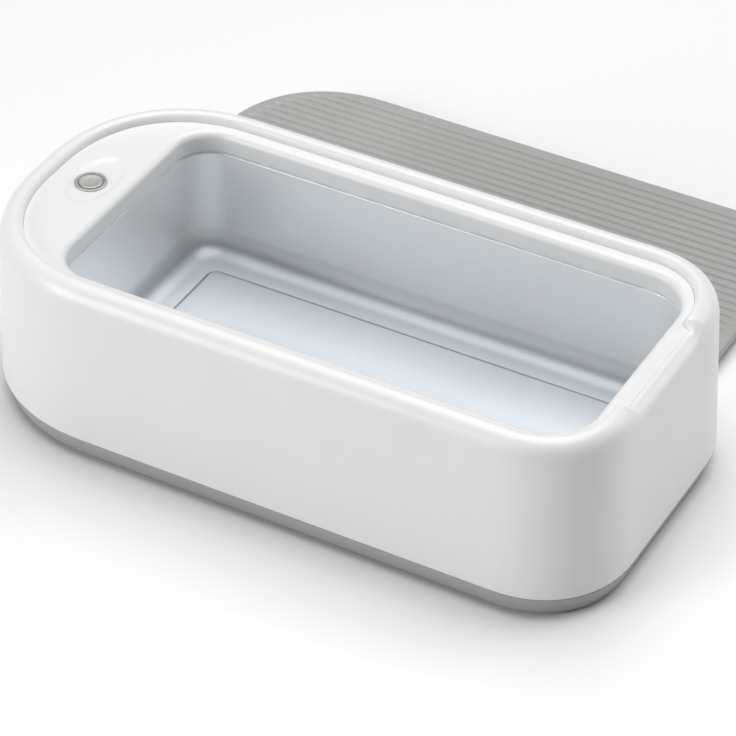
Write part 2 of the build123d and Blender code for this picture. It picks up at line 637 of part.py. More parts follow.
with BuildPart() as ferrite_sleeve:
    sleeve_start = beside_sleeve(-FERRITE_LENGTH / 2, FERRITE_CENTRE[2])
    sleeve_plane = Plane(origin=sleeve_start, x_dir=(0, 0, 1), z_dir=(SLEEVE_X, SLEEVE_Y, 0))
    extrude(disc(sleeve_plane, FERRITE_RADIUS) - disc(sleeve_plane, FERRITE_BORE), amount=FERRITE_LENGTH)
    chamfer(ferrite_sleeve.edges(), FERRITE_CHAMFER)

ferrite_sleeve.part.label = "ferrite_sleeve"
export_step(ferrite_sleeve.part, "parts/ferrite_sleeve.step")

# ---------------------------------------------------------------- driver board
# On this plane the board's parts are placed by (Y, Z), and they stand off it towards -X.
BOARD_FACE = Plane(origin=(DRIVER_BOARD_X, 0, 0), x_dir=(0, 1, 0), z_dir=(1, 0, 0))


def off_board(distance):
    """The plane parallel to the driver board, that far from its component side."""
    return BOARD_FACE.offset(-distance)


with BuildPart() as driver_board:
    board_height = DRIVER_BOARD_TOP - DRIVER_BOARD_BOTTOM
    board_middle = (DRIVER_BOARD_TOP + DRIVER_BOARD_BOTTOM) / 2
    extrude(block(BOARD_FACE, DRIVER_BOARD_WIDTH, board_height, [(0, board_middle)]), amount=BOARD_THICKNESS)

driver_board.part.label = "driver_board"
export_step(driver_board.part, "parts/driver_board.step")

with BuildPart() as transformer_core:
    extrude(block(off_board(CORE_NEAR), CORE_WIDTH, CORE_HEIGHT, [TRANSFORMER]), amount=-CORE_DEPTH)
    window_y = (CORE_LEG + CORE_WINDOW) / 2
    windows = [(TRANSFORMER[0] + side * window_y, TRANSFORMER[1]) for side in (1, -1)]
    window_plan = block(off_board(CORE_NEAR), CORE_WINDOW, CORE_HEIGHT - 2 * CORE_YOKE, windows)
    extrude(window_plan, amount=-CORE_DEPTH, mode=Mode.SUBTRACT)

transformer_core.part.label = "transformer_core"
export_step(transformer_core.part, "parts/transformer_core.step")

with BuildPart() as transformer_winding:
    extrude(block(off_board(COIL_NEAR), COIL_WIDTH, COIL_HEIGHT, [TRANSFORMER]), amount=COIL_NEAR - COIL_FAR)
    fillet(transformer_winding.edges().filter_by(Axis.Z), COIL_CORNER)
    leg_hole = block(off_board(CORE_NEAR - COIL_GAP), CORE_LEG + 2 * COIL_GAP, COIL_HEIGHT, [TRANSFORMER])
    extrude(leg_hole, amount=-CORE_DEPTH - 2 * COIL_GAP, mode=Mode.SUBTRACT)

transformer_winding.part.label = "transformer_winding"
export_step(transformer_winding.part, "parts/transformer_winding.step")

with BuildPart() as transformer_bobbin:
    bobbin_width = CORE_WIDTH - 2 * BOBBIN_PLATE
    bobbin_height = CORE_HEIGHT - 2 * BOBBIN_PLATE
    extrude(block(BOARD_FACE, bobbin_width, bobbin_height, [TRANSFORMER]), amount=COIL_GAP - COIL_NEAR)
    for side in (1, -1):
        plate_z = TRANSFORMER[1] + side * (COIL_HEIGHT + BOBBIN_PLATE) / 2
        bobbin_plate = block(BOARD_FACE, COIL_WIDTH, BOBBIN_PLATE, [(TRANSFORMER[0], plate_z)])
        extrude(bobbin_plate, amount=-COIL_FAR)
    bobbin_plane = off_board(CORE_NEAR - BOBBIN_GAP)
    bobbin_hole = block(bobbin_plane, CORE_LEG + 2 * BOBBIN_GAP, CORE_HEIGHT, [TRANSFORMER])
    extrude(bobbin_hole, amount=-CORE_DEPTH - 2 * BOBBIN_GAP, mode=Mode.SUBTRACT)

transformer_bobbin.part.label = "transformer_bobbin"
export_step(transformer_bobbin.part, "parts/transformer_bobbin.step")

with BuildPart() as toroid_core:
    toroid_plane = off_board(TOROID_NEAR)
    toroid_section = disc(toroid_plane, TOROID_OUTER, [TOROID]) - disc(toroid_plane, TOROID_INNER, [TOROID])
    extrude(toroid_section, amount=-TOROID_DEPTH)

toroid_core.part.label = "toroid_core"
export_step(toroid_core.part, "parts/toroid_core.step")

with BuildPart() as toroid_winding:
    wall = TOROID_OUTER - TOROID_INNER
    turn_middle = (TOROID_OUTER + TOROID_INNER) / 2
    for clearance, mode in ((TURN_WIRE + TURN_GAP, Mode.ADD), (TURN_GAP, Mode.SUBTRACT)):
        with BuildSketch(off_board(TOROID_NEAR - clearance)) as turn_plan:
            with Locations(TOROID):
                with PolarLocations(turn_middle, TURNS):
                    Rectangle(wall + 2 * clearance, TURN_WIRE)
        extrude(turn_plan.sketch, amount=-TOROID_DEPTH - 2 * clearance, mode=mode)

toroid_winding.part.label = "toroid_winding"
export_step(toroid_winding.part, "parts/toroid_winding.step")

with BuildPart() as bulk_capacitors:
    extrude(disc(BOARD_FACE, CAPACITOR_RADIUS, CAPACITORS), amount=-CAPACITOR_LENGTH)
    with BuildSketch(off_board(CRIMP_NEAR)) as crimp:
        with Locations(*CAPACITORS):
            Circle(CAPACITOR_RADIUS + CRIMP_DEPTH)
            Circle(CAPACITOR_RADIUS - CRIMP_DEPTH, mode=Mode.SUBTRACT)
    extrude(crimp.sketch, amount=-CRIMP_WIDTH, mode=Mode.SUBTRACT)
    can_end = off_board(CAPACITOR_LENGTH)
    can_slots = cross(can_end, CAPACITOR_SLOT_LENGTH, CAPACITOR_SLOT_WIDTH, CAPACITORS)
    extrude(can_slots, amount=CRIMP_DEPTH, mode=Mode.SUBTRACT)

bulk_capacitors.part.label = "bulk_capacitors"
export_step(bulk_capacitors.part, "parts/bulk_capacitors.step")

with BuildPart() as film_capacitor:
    extrude(block(BOARD_FACE, FILM_WIDTH, FILM_HEIGHT, [FILM_CAPACITOR]), amount=-FILM_DEPTH)
    fillet(film_capacitor.edges().filter_by(Axis.X), FILM_CORNER)

film_capacitor.part.label = "film_capacitor"
export_step(film_capacitor.part, "parts/film_capacitor.step")

with BuildPart() as heatsink:
    plate_plane = off_board(TRANSISTOR_NEAR + TRANSISTOR_DEPTH)
    extrude(block(plate_plane, HEATSINK_WIDTH, HEATSINK_HEIGHT, [HEATSINK]), amount=-HEATSINK_PLATE)
    fin_pitch = (HEATSINK_WIDTH - FIN_THICKNESS) / (FIN_COUNT - 1)
    fins = [(HEATSINK[0] + (i - FIN_COUNT // 2) * fin_pitch, HEATSINK[1]) for i in range(FIN_COUNT)]
    fin_depth = HEATSINK_PLATE + FIN_LENGTH
    extrude(block(plate_plane, FIN_THICKNESS, HEATSINK_HEIGHT, fins), amount=-fin_depth)

heatsink.part.label = "heatsink"
export_step(heatsink.part, "parts/heatsink.step")

with BuildPart() as power_transistors:
    bodies = [(y, z - TRANSISTOR_DROP) for y, z in TRANSISTORS]
    body_plan = block(off_board(TRANSISTOR_NEAR), TRANSISTOR_SIZE, TRANSISTOR_SIZE, bodies)
    extrude(body_plan, amount=-TRANSISTOR_DEPTH)
    tabs_plane = off_board(TRANSISTOR_NEAR + TRANSISTOR_DEPTH - TAB_DEPTH)
    tabs = [(y, z + TAB_RISE) for y, z in TRANSISTORS]
    extrude(block(tabs_plane, TRANSISTOR_SIZE, TAB_HEIGHT, tabs), amount=-TAB_DEPTH)
    tab_holes = disc(tabs_plane, TAB_HOLE_RADIUS, [(y, z + TAB_HOLE_RISE) for y, z in TRANSISTORS])
    extrude(tab_holes, amount=-TAB_DEPTH, mode=Mode.SUBTRACT)

power_transistors.part.label = "power_transistors"
export_step(power_transistors.part, "parts/power_transistors.step")

with BuildPart() as driver_chip:
    extrude(block(BOARD_FACE, CHIP_WIDTH, CHIP_HEIGHT, [CHIP]), amount=-CHIP_DEPTH)
    chamfer(driver_chip.edges().group_by(Axis.X)[0], CHIP_CHAMFER)

driver_chip.part.label = "driver_chip"
export_step(driver_chip.part, "parts/driver_chip.step")

with BuildPart() as board_connectors:
    extrude(block(BOARD_FACE, POWER_SOCKET, POWER_SOCKET, [(0, JACK_Z)]), amount=-POWER_SOCKET_DEPTH)
    well = POWER_SOCKET - 2 * POWER_SOCKET_WALL
    well_plan = block(off_board(POWER_SOCKET_DEPTH), well, well, [(0, JACK_Z)])
    extrude(well_plan, amount=POWER_SOCKET_WELL, mode=Mode.SUBTRACT)
    ribbon_socket = block(BOARD_FACE, RIBBON_SOCKET_WIDTH, RIBBON_SOCKET_HEIGHT, [RIBBON_SOCKET])
    extrude(ribbon_socket, amount=-RIBBON_SOCKET_DEPTH)

board_connectors.part.label = "board_connectors"
export_step(board_connectors.part, "parts/board_connectors.step")

# ---------------------------------------------------------------- button and control board
with BuildPart() as button_cap:
    extrude(disc(level(CAP_FLANGE_TOP), CAP_RADIUS, BUTTON), amount=CAP_TOP - CAP_FLANGE_TOP)
    fillet(button_cap.edges().group_by(Axis.Z)[-1], CAP_EDGE)
    cap_flange = disc(level(CAP_FLANGE_BOTTOM), CAP_FLANGE_RADIUS, BUTTON)
    extrude(cap_flange, amount=CAP_FLANGE_TOP - CAP_FLANGE_BOTTOM)
    extrude(disc(level(STEM_BOTTOM), STEM_RADIUS, BUTTON), amount=CAP_FLANGE_BOTTOM - STEM_BOTTOM)
    # concave finger face
    with Locations((BUTTON_X, 0, CAP_TOP + CAP_DISH_RADIUS - CAP_DISH_DEPTH)):
        Sphere(CAP_DISH_RADIUS, mode=Mode.SUBTRACT)

button_cap.part.label = "button_cap"
export_step(button_cap.part, "parts/button_cap.step")

with BuildPart() as button_bezel:
    extrude(disc(level(COLLAR_BOTTOM), BEZEL_BARREL, BUTTON), amount=DISH_FLOOR - COLLAR_BOTTOM)
    extrude(disc(level(DISH_FLOOR), BEZEL_RADIUS, BUTTON), amount=CAP_TOP - DISH_FLOOR)
    chamfer(button_bezel.edges().group_by(Axis.Z)[-1], BEZEL_CHAMFER)
    bezel_bore = disc(level(COLLAR_BOTTOM), BEZEL_INNER, BUTTON)
    extrude(bezel_bore, amount=CAP_TOP - COLLAR_BOTTOM, mode=Mode.SUBTRACT)

button_bezel.part.label = "button_bezel"
export_step(button_bezel.part, "parts/button_bezel.step")

with BuildPart() as light_guide:
    guide_plane = level(COLLAR_BOTTOM)
    guide_ring = disc(guide_plane, GUIDE_OUTER, BUTTON) - disc(guide_plane, GUIDE_INNER, BUTTON)
    extrude(guide_ring, amount=CAP_TOP - COLLAR_BOTTOM - GUIDE_SINK)

light_guide.part.label = "light_guide"
export_step(light_guide.part, "parts/light_guide.step")

with BuildPart() as button_seal:
    seal_outline = disc(level(COLLAR_BOTTOM), BEZEL_BARREL + SEAL_WIDTH, BUTTON)
    seal_hole = disc(level(COLLAR_BOTTOM), BEZEL_BARREL + BEZEL_GAP, BUTTON)
    extrude(seal_outline - seal_hole, amount=DECK_BOTTOM - COLLAR_BOTTOM)

button_seal.part.label = "button_seal"
export_step(button_seal.part, "parts/button_seal.step")

with BuildPart() as control_board:
    board_plan = block(level(CONTROL_BOARD_TOP), CONTROL_BOARD_LENGTH, CONTROL_BOARD_WIDTH, BUTTON)
    extrude(board_plan, amount=-BOARD_THICKNESS)
    board_holes = disc(level(CONTROL_BOARD_TOP), POST_SCREW_RADIUS + SCREW_CLEARANCE, POST_PLACES)
    extrude(board_holes, amount=-BOARD_THICKNESS, mode=Mode.SUBTRACT)

control_board.part.label = "control_board"
export_step(control_board.part, "parts/control_board.step")

with BuildPart() as board_screws:
    board_head_plane = level(SCREW_FACE - SMALL_HEAD_HEIGHT)
    extrude(disc(board_head_plane, SMALL_HEAD_RADIUS, POST_PLACES), amount=SMALL_HEAD_HEIGHT)
    extrude(disc(level(SCREW_FACE), POST_SCREW_RADIUS, POST_PLACES), amount=POST_SCREW_LENGTH)
    screw_slots = cross(board_head_plane, SMALL_SLOT_LENGTH, SMALL_SLOT_WIDTH, POST_PLACES)
    extrude(screw_slots, amount=SMALL_SLOT_DEPTH, mode=Mode.SUBTRACT)

board_screws.part.label = "board_screws"
export_step(board_screws.part, "parts/board_screws.step")

with BuildPart() as tact_switch:
    extrude(block(level(CONTROL_BOARD_TOP), SWITCH_SIZE, SWITCH_SIZE, BUTTON), amount=SWITCH_HEIGHT)
    chamfer(tact_switch.edges().group_by(Axis.Z)[-1], SWITCH_CHAMFER)
    switch_hole = disc(level(SWITCH_TOP), PLUNGER_RADIUS + PLUNGER_GAP, BUTTON)
    extrude(switch_hole, amount=-SWITCH_WELL, mode=Mode.SUBTRACT)

tact_switch.part.label = "tact_switch"
export_step(tact_switch.part, "parts/tact_switch.step")

with BuildPart() as switch_plunger:
    extrude(disc(level(STEM_BOTTOM), PLUNGER_RADIUS, BUTTON), amount=-PLUNGER_LENGTH)

switch_plunger.part.label = "switch_plunger"
export_step(switch_plunger.part, "parts/switch_plunger.step")

with BuildPart() as microcontroller:
    micro_plan = block(level(CONTROL_BOARD_TOP), MICRO_SIZE, MICRO_SIZE, [(BUTTON_X, MICRO_Y)])
    extrude(micro_plan, amount=MICRO_HEIGHT)
    chamfer(microcontroller.edges().group_by(Axis.Z)[-1], MICRO_CHAMFER)

microcontroller.part.label = "microcontroller"
export_step(microcontroller.part, "parts/microcontroller.step")

with BuildPart() as status_led:
    led_plan = block(level(CONTROL_BOARD_TOP), LED_LENGTH, LED_WIDTH, [(BUTTON_X + LED_SHIFT, 0)])
    extrude(led_plan, amount=LED_LENGTH)

status_led.part.label = "status_led"
export_step(status_led.part, "parts/status_led.step")

with BuildPart() as board_ribbon:
    ribbon_place = (DRIVER_BOARD_X - RIBBON_SHIFT, RIBBON_SOCKET[0])
    ribbon_plan = block(level(RIBBON_BOTTOM), RIBBON_THICKNESS, RIBBON_WIDTH, [ribbon_place])
    extrude(ribbon_plan, amount=SCREW_FACE - RIBBON_BOTTOM)

board_ribbon.part.label = "board_ribbon"
export_step(board_ribbon.part, "parts/board_ribbon.step")

# ---------------------------------------------------------------- power jack
with BuildPart() as power_jack:
    extrude(disc(jack_plane_at(JACK_MOUTH), JACK_BARREL), amount=JACK_END - JACK_MOUTH)
    jack_body = block(jack_plane_at(JACK_END - JACK_BODY_LENGTH), JACK_BODY_WIDTH, JACK_BODY_HEIGHT)
    extrude(jack_body, amount=JACK_BODY_LENGTH)
    bore_plan = disc(jack_plane_at(JACK_MOUTH), JACK_BORE)
    extrude(bore_plan, amount=JACK_BORE_DEPTH, mode=Mode.SUBTRACT)

power_jack.part.label = "power_jack"
export_step(power_jack.part, "parts/power_jack.step")

with BuildPart() as jack_pin:
    pin_plan = disc(jack_plane_at(JACK_MOUTH + JACK_PIN_RECESS), JACK_PIN_RADIUS)
    extrude(pin_plan, amount=JACK_BORE_DEPTH - JACK_PIN_RECESS)
    chamfer(jack_pin.edges().group_by(Axis.X)[0], JACK_PIN_CHAMFER)

jack_pin.part.label = "jack_pin"
export_step(jack_pin.part, "parts/jack_pin.step")

with BuildPart() as jack_nut:
    with BuildSketch(jack_plane_at(JACK_NUT_X)) as nut_plan:
        RegularPolygon(JACK_NUT_RADIUS, 6)
        Circle(JACK_BARREL + JACK_NUT_GAP, mode=Mode.SUBTRACT)
    extrude(nut_plan.sketch, amount=JACK_NUT_LENGTH)

jack_nut.part.label = "jack_nut"
export_step(jack_nut.part, "parts/jack_nut.step")

with BuildPart() as jack_wires:
    wire_length = DRIVER_BOARD_X - POWER_SOCKET_DEPTH + JACK_WIRE_ENTRY - JACK_END
    wire_places = [(side * JACK_WIRE_Y, 0) for side in (1, -1)]
    extrude(disc(jack_plane_at(JACK_END), JACK_WIRE_RADIUS, wire_places), amount=wire_length)

jack_wires.part.label = "jack_wires"
export_step(jack_wires.part, "parts/jack_wires.step")

# ---------------------------------------------------------------- base screws and foot ring
with BuildPart() as base_screws:
    head_plane = level(BASE_HEAD_TOP - BASE_HEAD_HEIGHT)
    extrude(disc(head_plane, BASE_HEAD_RADIUS, BASE_SCREW_PLACES), amount=BASE_HEAD_HEIGHT)
    extrude(disc(level(BASE_HEAD_TOP), BASE_SCREW_RADIUS, BASE_SCREW_PLACES), amount=BASE_SCREW_LENGTH)
    head_slots = cross(head_plane, BASE_SLOT_LENGTH, BASE_SLOT_WIDTH, BASE_SCREW_PLACES)
    extrude(head_slots, amount=BASE_SLOT_DEPTH, mode=Mode.SUBTRACT)

base_screws.part.label = "base_screws"
export_step(base_screws.part, "parts/base_screws.step")

with BuildPart() as rubber_foot_ring:
    ring_outline = rounded_plan(level(0), BODY, FOOT_RING_INSET)
    ring_hole = rounded_plan(level(0), BODY, FOOT_RING_INSET + FOOT_RING_WIDTH)
    extrude(ring_outline - ring_hole, amount=FOOT_PROUD + FOOT_RING_SINK)
    chamfer(rubber_foot_ring.edges().group_by(Axis.Z)[0], FOOT_RING_CHAMFER)

rubber_foot_ring.part.label = "rubber_foot_ring"
export_step(rubber_foot_ring.part, "parts/rubber_foot_ring.step")


# ---------------------------------------------------------------- lid, laid behind the body
def lid_level(height):
    """The horizontal plane at a height, with its origin at the lid's resting place."""
    return Plane(origin=(LID_REST_X, LID_REST_Y, height))


with BuildPart() as lid_panel:
    extrude(rounded_plan(lid_level(LID_SKIRT_HEIGHT), BODY, LID_INSET), amount=LID_THICKNESS)
    fillet(lid_panel.edges().group_by(Axis.Z)[-1], LID_EDGE)
    # ribbed top
    with BuildSketch(lid_level(LID_TOP)) as grooves:
        with GridLocations(0, RIB_PITCH, 1, RIB_COUNT):
            Rectangle(BODY_LENGTH, RIB_GROOVE)
        add(rounded_plan(Plane.XY, BODY, LID_INSET + RIB_BORDER), mode=Mode.INTERSECT)
    extrude(grooves.sketch, amount=-RIB_DEPTH, mode=Mode.SUBTRACT)
    # skirt that drops into the tank's mouth, braced across
    extrude(rounded_plan(lid_level(0), TANK, LID_SKIRT_GAP), amount=LID_SKIRT_HEIGHT)
    skirt_hollow = rounded_plan(lid_level(0), TANK, LID_SKIRT_GAP + LID_SKIRT_WALL)
    extrude(skirt_hollow, amount=LID_SKIRT_HEIGHT, mode=Mode.SUBTRACT)
    with BuildSketch(lid_level(LID_SKIRT_HEIGHT)) as braces:
        brace_inset = LID_SKIRT_GAP + LID_BRACE_BITE
        with Locations((TANK_MIDDLE, 0)):
            with GridLocations(LID_BRACE_PITCH, 0, LID_BRACE_COUNT, 1):
                Rectangle(LID_BRACE_WIDTH, 2 * (TANK_HALF_WIDTH - brace_inset))
            Rectangle(TANK_RIGHT - TANK_LEFT - 2 * brace_inset, LID_BRACE_WIDTH)
    extrude(braces.sketch, amount=-LID_BRACE_HEIGHT)

lid_panel.part.label = "lid_panel"
export_step(lid_panel.part, "parts/lid_panel.step")
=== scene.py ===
import json
from collections import namedtuple
from math import cos, pi, radians, sin

import bmesh
import bpy
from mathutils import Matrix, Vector


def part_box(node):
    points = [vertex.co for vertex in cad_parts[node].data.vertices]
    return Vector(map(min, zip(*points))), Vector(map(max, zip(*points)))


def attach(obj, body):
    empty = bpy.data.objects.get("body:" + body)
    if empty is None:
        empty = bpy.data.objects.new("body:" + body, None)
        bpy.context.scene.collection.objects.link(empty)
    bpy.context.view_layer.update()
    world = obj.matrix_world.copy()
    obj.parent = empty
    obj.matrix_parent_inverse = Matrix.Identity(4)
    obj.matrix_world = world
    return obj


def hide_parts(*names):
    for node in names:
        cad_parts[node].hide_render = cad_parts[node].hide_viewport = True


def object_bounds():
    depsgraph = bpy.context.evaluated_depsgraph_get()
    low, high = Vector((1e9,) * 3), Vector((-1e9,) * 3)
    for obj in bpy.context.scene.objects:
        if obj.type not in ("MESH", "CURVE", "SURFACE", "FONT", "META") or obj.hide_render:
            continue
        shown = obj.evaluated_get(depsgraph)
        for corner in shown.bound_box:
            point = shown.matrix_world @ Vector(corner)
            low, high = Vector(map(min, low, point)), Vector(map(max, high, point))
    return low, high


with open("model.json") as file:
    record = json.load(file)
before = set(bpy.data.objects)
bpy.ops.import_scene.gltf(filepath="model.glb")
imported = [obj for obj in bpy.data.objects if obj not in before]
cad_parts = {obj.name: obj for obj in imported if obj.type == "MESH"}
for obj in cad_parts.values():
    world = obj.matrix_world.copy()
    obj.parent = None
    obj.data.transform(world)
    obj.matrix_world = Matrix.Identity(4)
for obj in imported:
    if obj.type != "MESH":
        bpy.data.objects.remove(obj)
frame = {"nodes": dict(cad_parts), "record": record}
CAD_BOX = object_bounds()

MM = 0.001

# An ultrasonic cleaner for jewellery. Its eight main visible pieces are built here as closed
# meshes in place of their CAD nodes. All others keep their CAD shapes and get materials. Places
# come from the CAD nodes' boxes, on the frame's axes and in metres.
HOUSING_LOW, HOUSING_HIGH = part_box("outer_housing")
_, DECK_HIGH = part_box("top_deck")
BASE_LOW, BASE_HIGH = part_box("base_cover")
TANK_LOW, TANK_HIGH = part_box("cleaning_tank")
LID_LOW, LID_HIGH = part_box("lid_panel")
CAP_LOW, CAP_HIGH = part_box("button_cap")
BEZEL_LOW, BEZEL_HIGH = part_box("button_bezel")
JACK_LOW, JACK_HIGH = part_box("power_jack")
FOOT_LOW, FOOT_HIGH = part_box("rubber_foot_ring")
SCREWS_LOW, SCREWS_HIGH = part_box("base_screws")

# ---------------------------------------------------------------- camera
CAMERA_TARGET = Vector((7.1, 1.4, 20.2)) * MM
CAMERA_AZIMUTH = radians(29.08)
CAMERA_ELEVATION = radians(38.22)
CAMERA_DISTANCE = 958.1 * MM
CAMERA_LENS = 170.6
CAMERA_SENSOR = 36.0
CAMERA_CLIP = (0.01, 50.0)


def add_camera():
    """The camera looks down at the front right corner of the body."""
    across = cos(CAMERA_ELEVATION)
    x, y = sin(CAMERA_AZIMUTH) * across, -cos(CAMERA_AZIMUTH) * across
    back = Vector((x, y, sin(CAMERA_ELEVATION)))
    data = bpy.data.cameras.new("camera")
    data.lens = CAMERA_LENS
    data.sensor_width = CAMERA_SENSOR
    data.clip_start, data.clip_end = CAMERA_CLIP
    camera = bpy.data.objects.new("camera", data)
    bpy.context.scene.collection.objects.link(camera)
    camera.location = CAMERA_TARGET + back * CAMERA_DISTANCE
    camera.rotation_euler = (-back).to_track_quat("-Z", "Y").to_euler()
    bpy.context.scene.camera = camera


add_camera()

# ---------------------------------------------------------------- plans
# A plan is a rounded rectangle with its own left and right corner radii. A power of 2 makes the
# corners round, and a little more eases them into the straight sides.
Plan = namedtuple("Plan", "x_low x_high half_width left right power")
Edge = namedtuple("Edge", "point normal")

BODY_PLAN = Plan(
    x_low=HOUSING_LOW.x,
    x_high=HOUSING_HIGH.x,
    half_width=HOUSING_HIGH.y,
    left=46.9 * MM,
    right=28.1 * MM,
    power=2.17,
)
# the tank's wall, with its flange reaching further out
FLANGE_WIDTH = 2.6 * MM
TANK_PLAN = Plan(
    x_low=TANK_LOW.x + FLANGE_WIDTH,
    x_high=TANK_HIGH.x - FLANGE_WIDTH,
    half_width=TANK_HIGH.y - FLANGE_WIDTH,
    left=11.0 * MM,
    right=14.0 * MM,
    power=2.0,
)
# into how many steps a plan's corners and straight sides are cut; the right side has the notch
CORNER_STEPS = 40
LONG_STEPS = 36
LEFT_STEPS = 12
RIGHT_STEPS = 120
# the same for the corners of boxes and for small rounded edges
BOX_CORNER_STEPS = 6
EDGE_STEPS = 5
SMALL_EDGE_STEPS = 4
# points closer than this are one point
SAME_POINT = 1e-7


def outline(plan):
    """Points round a plan and their outward normals, anticlockwise from the back right corner."""
    bend = 2 / plan.power
    tilt = 2 * (plan.power - 1) / plan.power
    corners = (
        (plan.x_high - plan.right, plan.half_width - plan.right, plan.right, LONG_STEPS),
        (plan.x_low + plan.left, plan.half_width - plan.left, plan.left, LEFT_STEPS),
        (plan.x_low + plan.left, plan.left - plan.half_width, plan.left, LONG_STEPS),
        (plan.x_high - plan.right, plan.right - plan.half_width, plan.right, RIGHT_STEPS),
    )
    edges, sides = [], []
    for turn, (x, y, radius, steps) in enumerate(corners):
        for step in range(CORNER_STEPS + 1):
            angle = step * pi / 2 / CORNER_STEPS
            along, up = max(cos(angle), 0.0), max(sin(angle), 0.0)
            arm = quarter_turns(radius * along**bend, radius * up**bend, turn)
            normal = quarter_turns(along**tilt, up**tilt, turn).normalized()
            edges.append(Edge(Vector((x, y)) + arm, normal))
        sides.append((len(edges) - 1, steps))
    full = []
    start = 0
    for end, steps in sides:
        full += edges[start : end + 1]
        near, far = edges[end], edges[(end + 1) % len(edges)]
        for step in range(1, steps):
            full.append(Edge(near.point.lerp(far.point, step / steps), near.normal))
        start = end + 1
    return full


def quarter_turns(x, y, turns):
    """A vector turned anticlockwise by whole quarter turns."""
    for _ in range(turns):
        x, y = -y, x
    return Vector((x, y))


def ring(plan, inset, height, shift=None):
    """A plan's points moved in by inset, at a height. shift may change both at each point."""
    points = []
    for point, normal in outline(plan):
        inward, z = shift(point, inset, height) if shift else (inset, height)
        points.append(Vector((*(point - normal * inward), z)))
    return points


def circle(x, y, radius, height, steps, length=None):
    """A circle's points, or an ellipse's with its half length along Y."""
    half = length or radius
    angles = [2 * pi * step / steps for step in range(steps)]
    return [Vector((x + radius * cos(a), y + half * sin(a), height)) for a in angles]


def rounded_box(low, high, radii, height):
    """A rectangle's points, anticlockwise from high X, high Y, with a radius for each corner."""
    points = []
    corners = (
        (high.x, high.y, -1, -1),
        (low.x, high.y, 1, -1),
        (low.x, low.y, 1, 1),
        (high.x, low.y, -1, 1),
    )
    for turn, ((x, y, side_x, side_y), radius) in enumerate(zip(corners, radii)):
        for step in range(BOX_CORNER_STEPS + 1):
            angle = step * pi / 2 / BOX_CORNER_STEPS
            arm = quarter_turns(cos(angle), sin(angle), turn) * radius
            point = Vector((x + side_x * radius + arm.x, y + side_y * radius + arm.y, height))
            if not points or (point - points[-1]).length > SAME_POINT:
                points.append(point)
    return points


def quarter(start, end, steps=EDGE_STEPS, level=False):
    """Points on a quarter ellipse after start, up to end. It leaves start upright, or level."""
    points = []
    width, height = end[0] - start[0], end[1] - start[1]
    for step in range(1, steps + 1):
        angle = step * pi / 2 / steps
        rise, run = sin(angle), 1 - cos(angle)
        if level:
            rise, run = run, rise
        points.append((start[0] + width * run, start[1] + height * rise))
    return points


def border_of(rows):
    """What lies round the edge of a grid of rows, in order."""
    ends = [row[-1] for row in rows[1:-1]]
    starts = [row[0] for row in rows[-2:0:-1]]
    return rows[0] + ends + rows[-1][::-1] + starts


def smooth(value):
    """Eases a value between 0 and 1 at both ends."""
    value = min(max(value, 0.0), 1.0)
    return value * value * (3 - 2 * value)


def moved(points, offset):
    """The points, each shifted by offset."""
    return [point + offset for point in points]


# ---------------------------------------------------------------- meshes
# Level regions are filled as seen from slightly off upright, so that no two corners line up.
FILL_FACING = (0.001, 0.0007, 1.0)
# edges that turn by more degrees than this stay sharp
SHARP_ANGLE = 32.0


class Builder:
    """Collects rings of vertices into one closed mesh."""

    def __init__(self):
        self.mesh = bmesh.new()

    def vertices(self, points):
        """New vertices at points, in order."""
        return [self.mesh.verts.new(point) for point in points]

    def bridge(self, low, high, skip=()):
        """Faces between two rings of the same length, apart from those at the indices in skip."""
        count = len(low)
        for i in range(count):
            if i in skip:
                continue
            j = (i + 1) % count
            self.mesh.faces.new((low[i], low[j], high[j], high[i]))

    def loft(self, rings, closed=False):
        """Joins rings of points in order, and returns their vertices."""
        made = [self.vertices(points) for points in rings]
        for low, high in zip(made, made[1:]):
            self.bridge(low, high)
        if closed:
            self.bridge(made[-1], made[0])
        return made

    def fill(self, *loops, facing=FILL_FACING):
        """Fills the flat region between loops of vertices."""
        edges = []
        for loop in loops:
            for pair in zip(loop, loop[1:] + loop[:1]):
                edges.append(self.mesh.edges.get(pair) or self.mesh.edges.new(pair))
        bmesh.ops.triangle_fill(self.mesh, use_beauty=True, edges=edges, normal=facing)

    def cap(self, loop):
        """Closes a small loop with one flat face."""
        self.mesh.faces.new(loop)

    def finish(self, name, body, slot, *nodes, sharp=SHARP_ANGLE):
        """Makes the object, smooth up to an angle, riding on a body in place of CAD nodes."""
        unused = [vertex for vertex in self.mesh.verts if not vertex.link_faces]
        bmesh.ops.delete(self.mesh, geom=unused, context="VERTS")
        bmesh.ops.recalc_face_normals(self.mesh, faces=self.mesh.faces[:])
        data = bpy.data.meshes.new(name)
        self.mesh.to_mesh(data)
        self.mesh.free()
        data.shade_smooth()
        data.set_sharp_from_angle(angle=radians(sharp))
        piece = bpy.data.objects.new(name, data)
        bpy.context.scene.collection.objects.link(piece)
        weighted = piece.modifiers.new("weighted_normals", "WEIGHTED_NORMAL")
        weighted.keep_sharp = True
        data.materials.append(MATERIALS[slot])
        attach(piece, body)
        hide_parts(*nodes)


# ---------------------------------------------------------------- materials
PLAIN_SCALE = (1.0, 1.0, 1.0)
NO_OFFSET = (0.0, 0.0, 0.0)
# a noise value seldom leaves this range
NOISE_LOW = 0.3
NOISE_HIGH = 0.7
# the colour sockets of a Mix node, which shares their names with its other data types
MIX_FIRST, MIX_SECOND, MIX_RESULT = 6, 7, 2
COAT_ROUGHNESS = 0.18
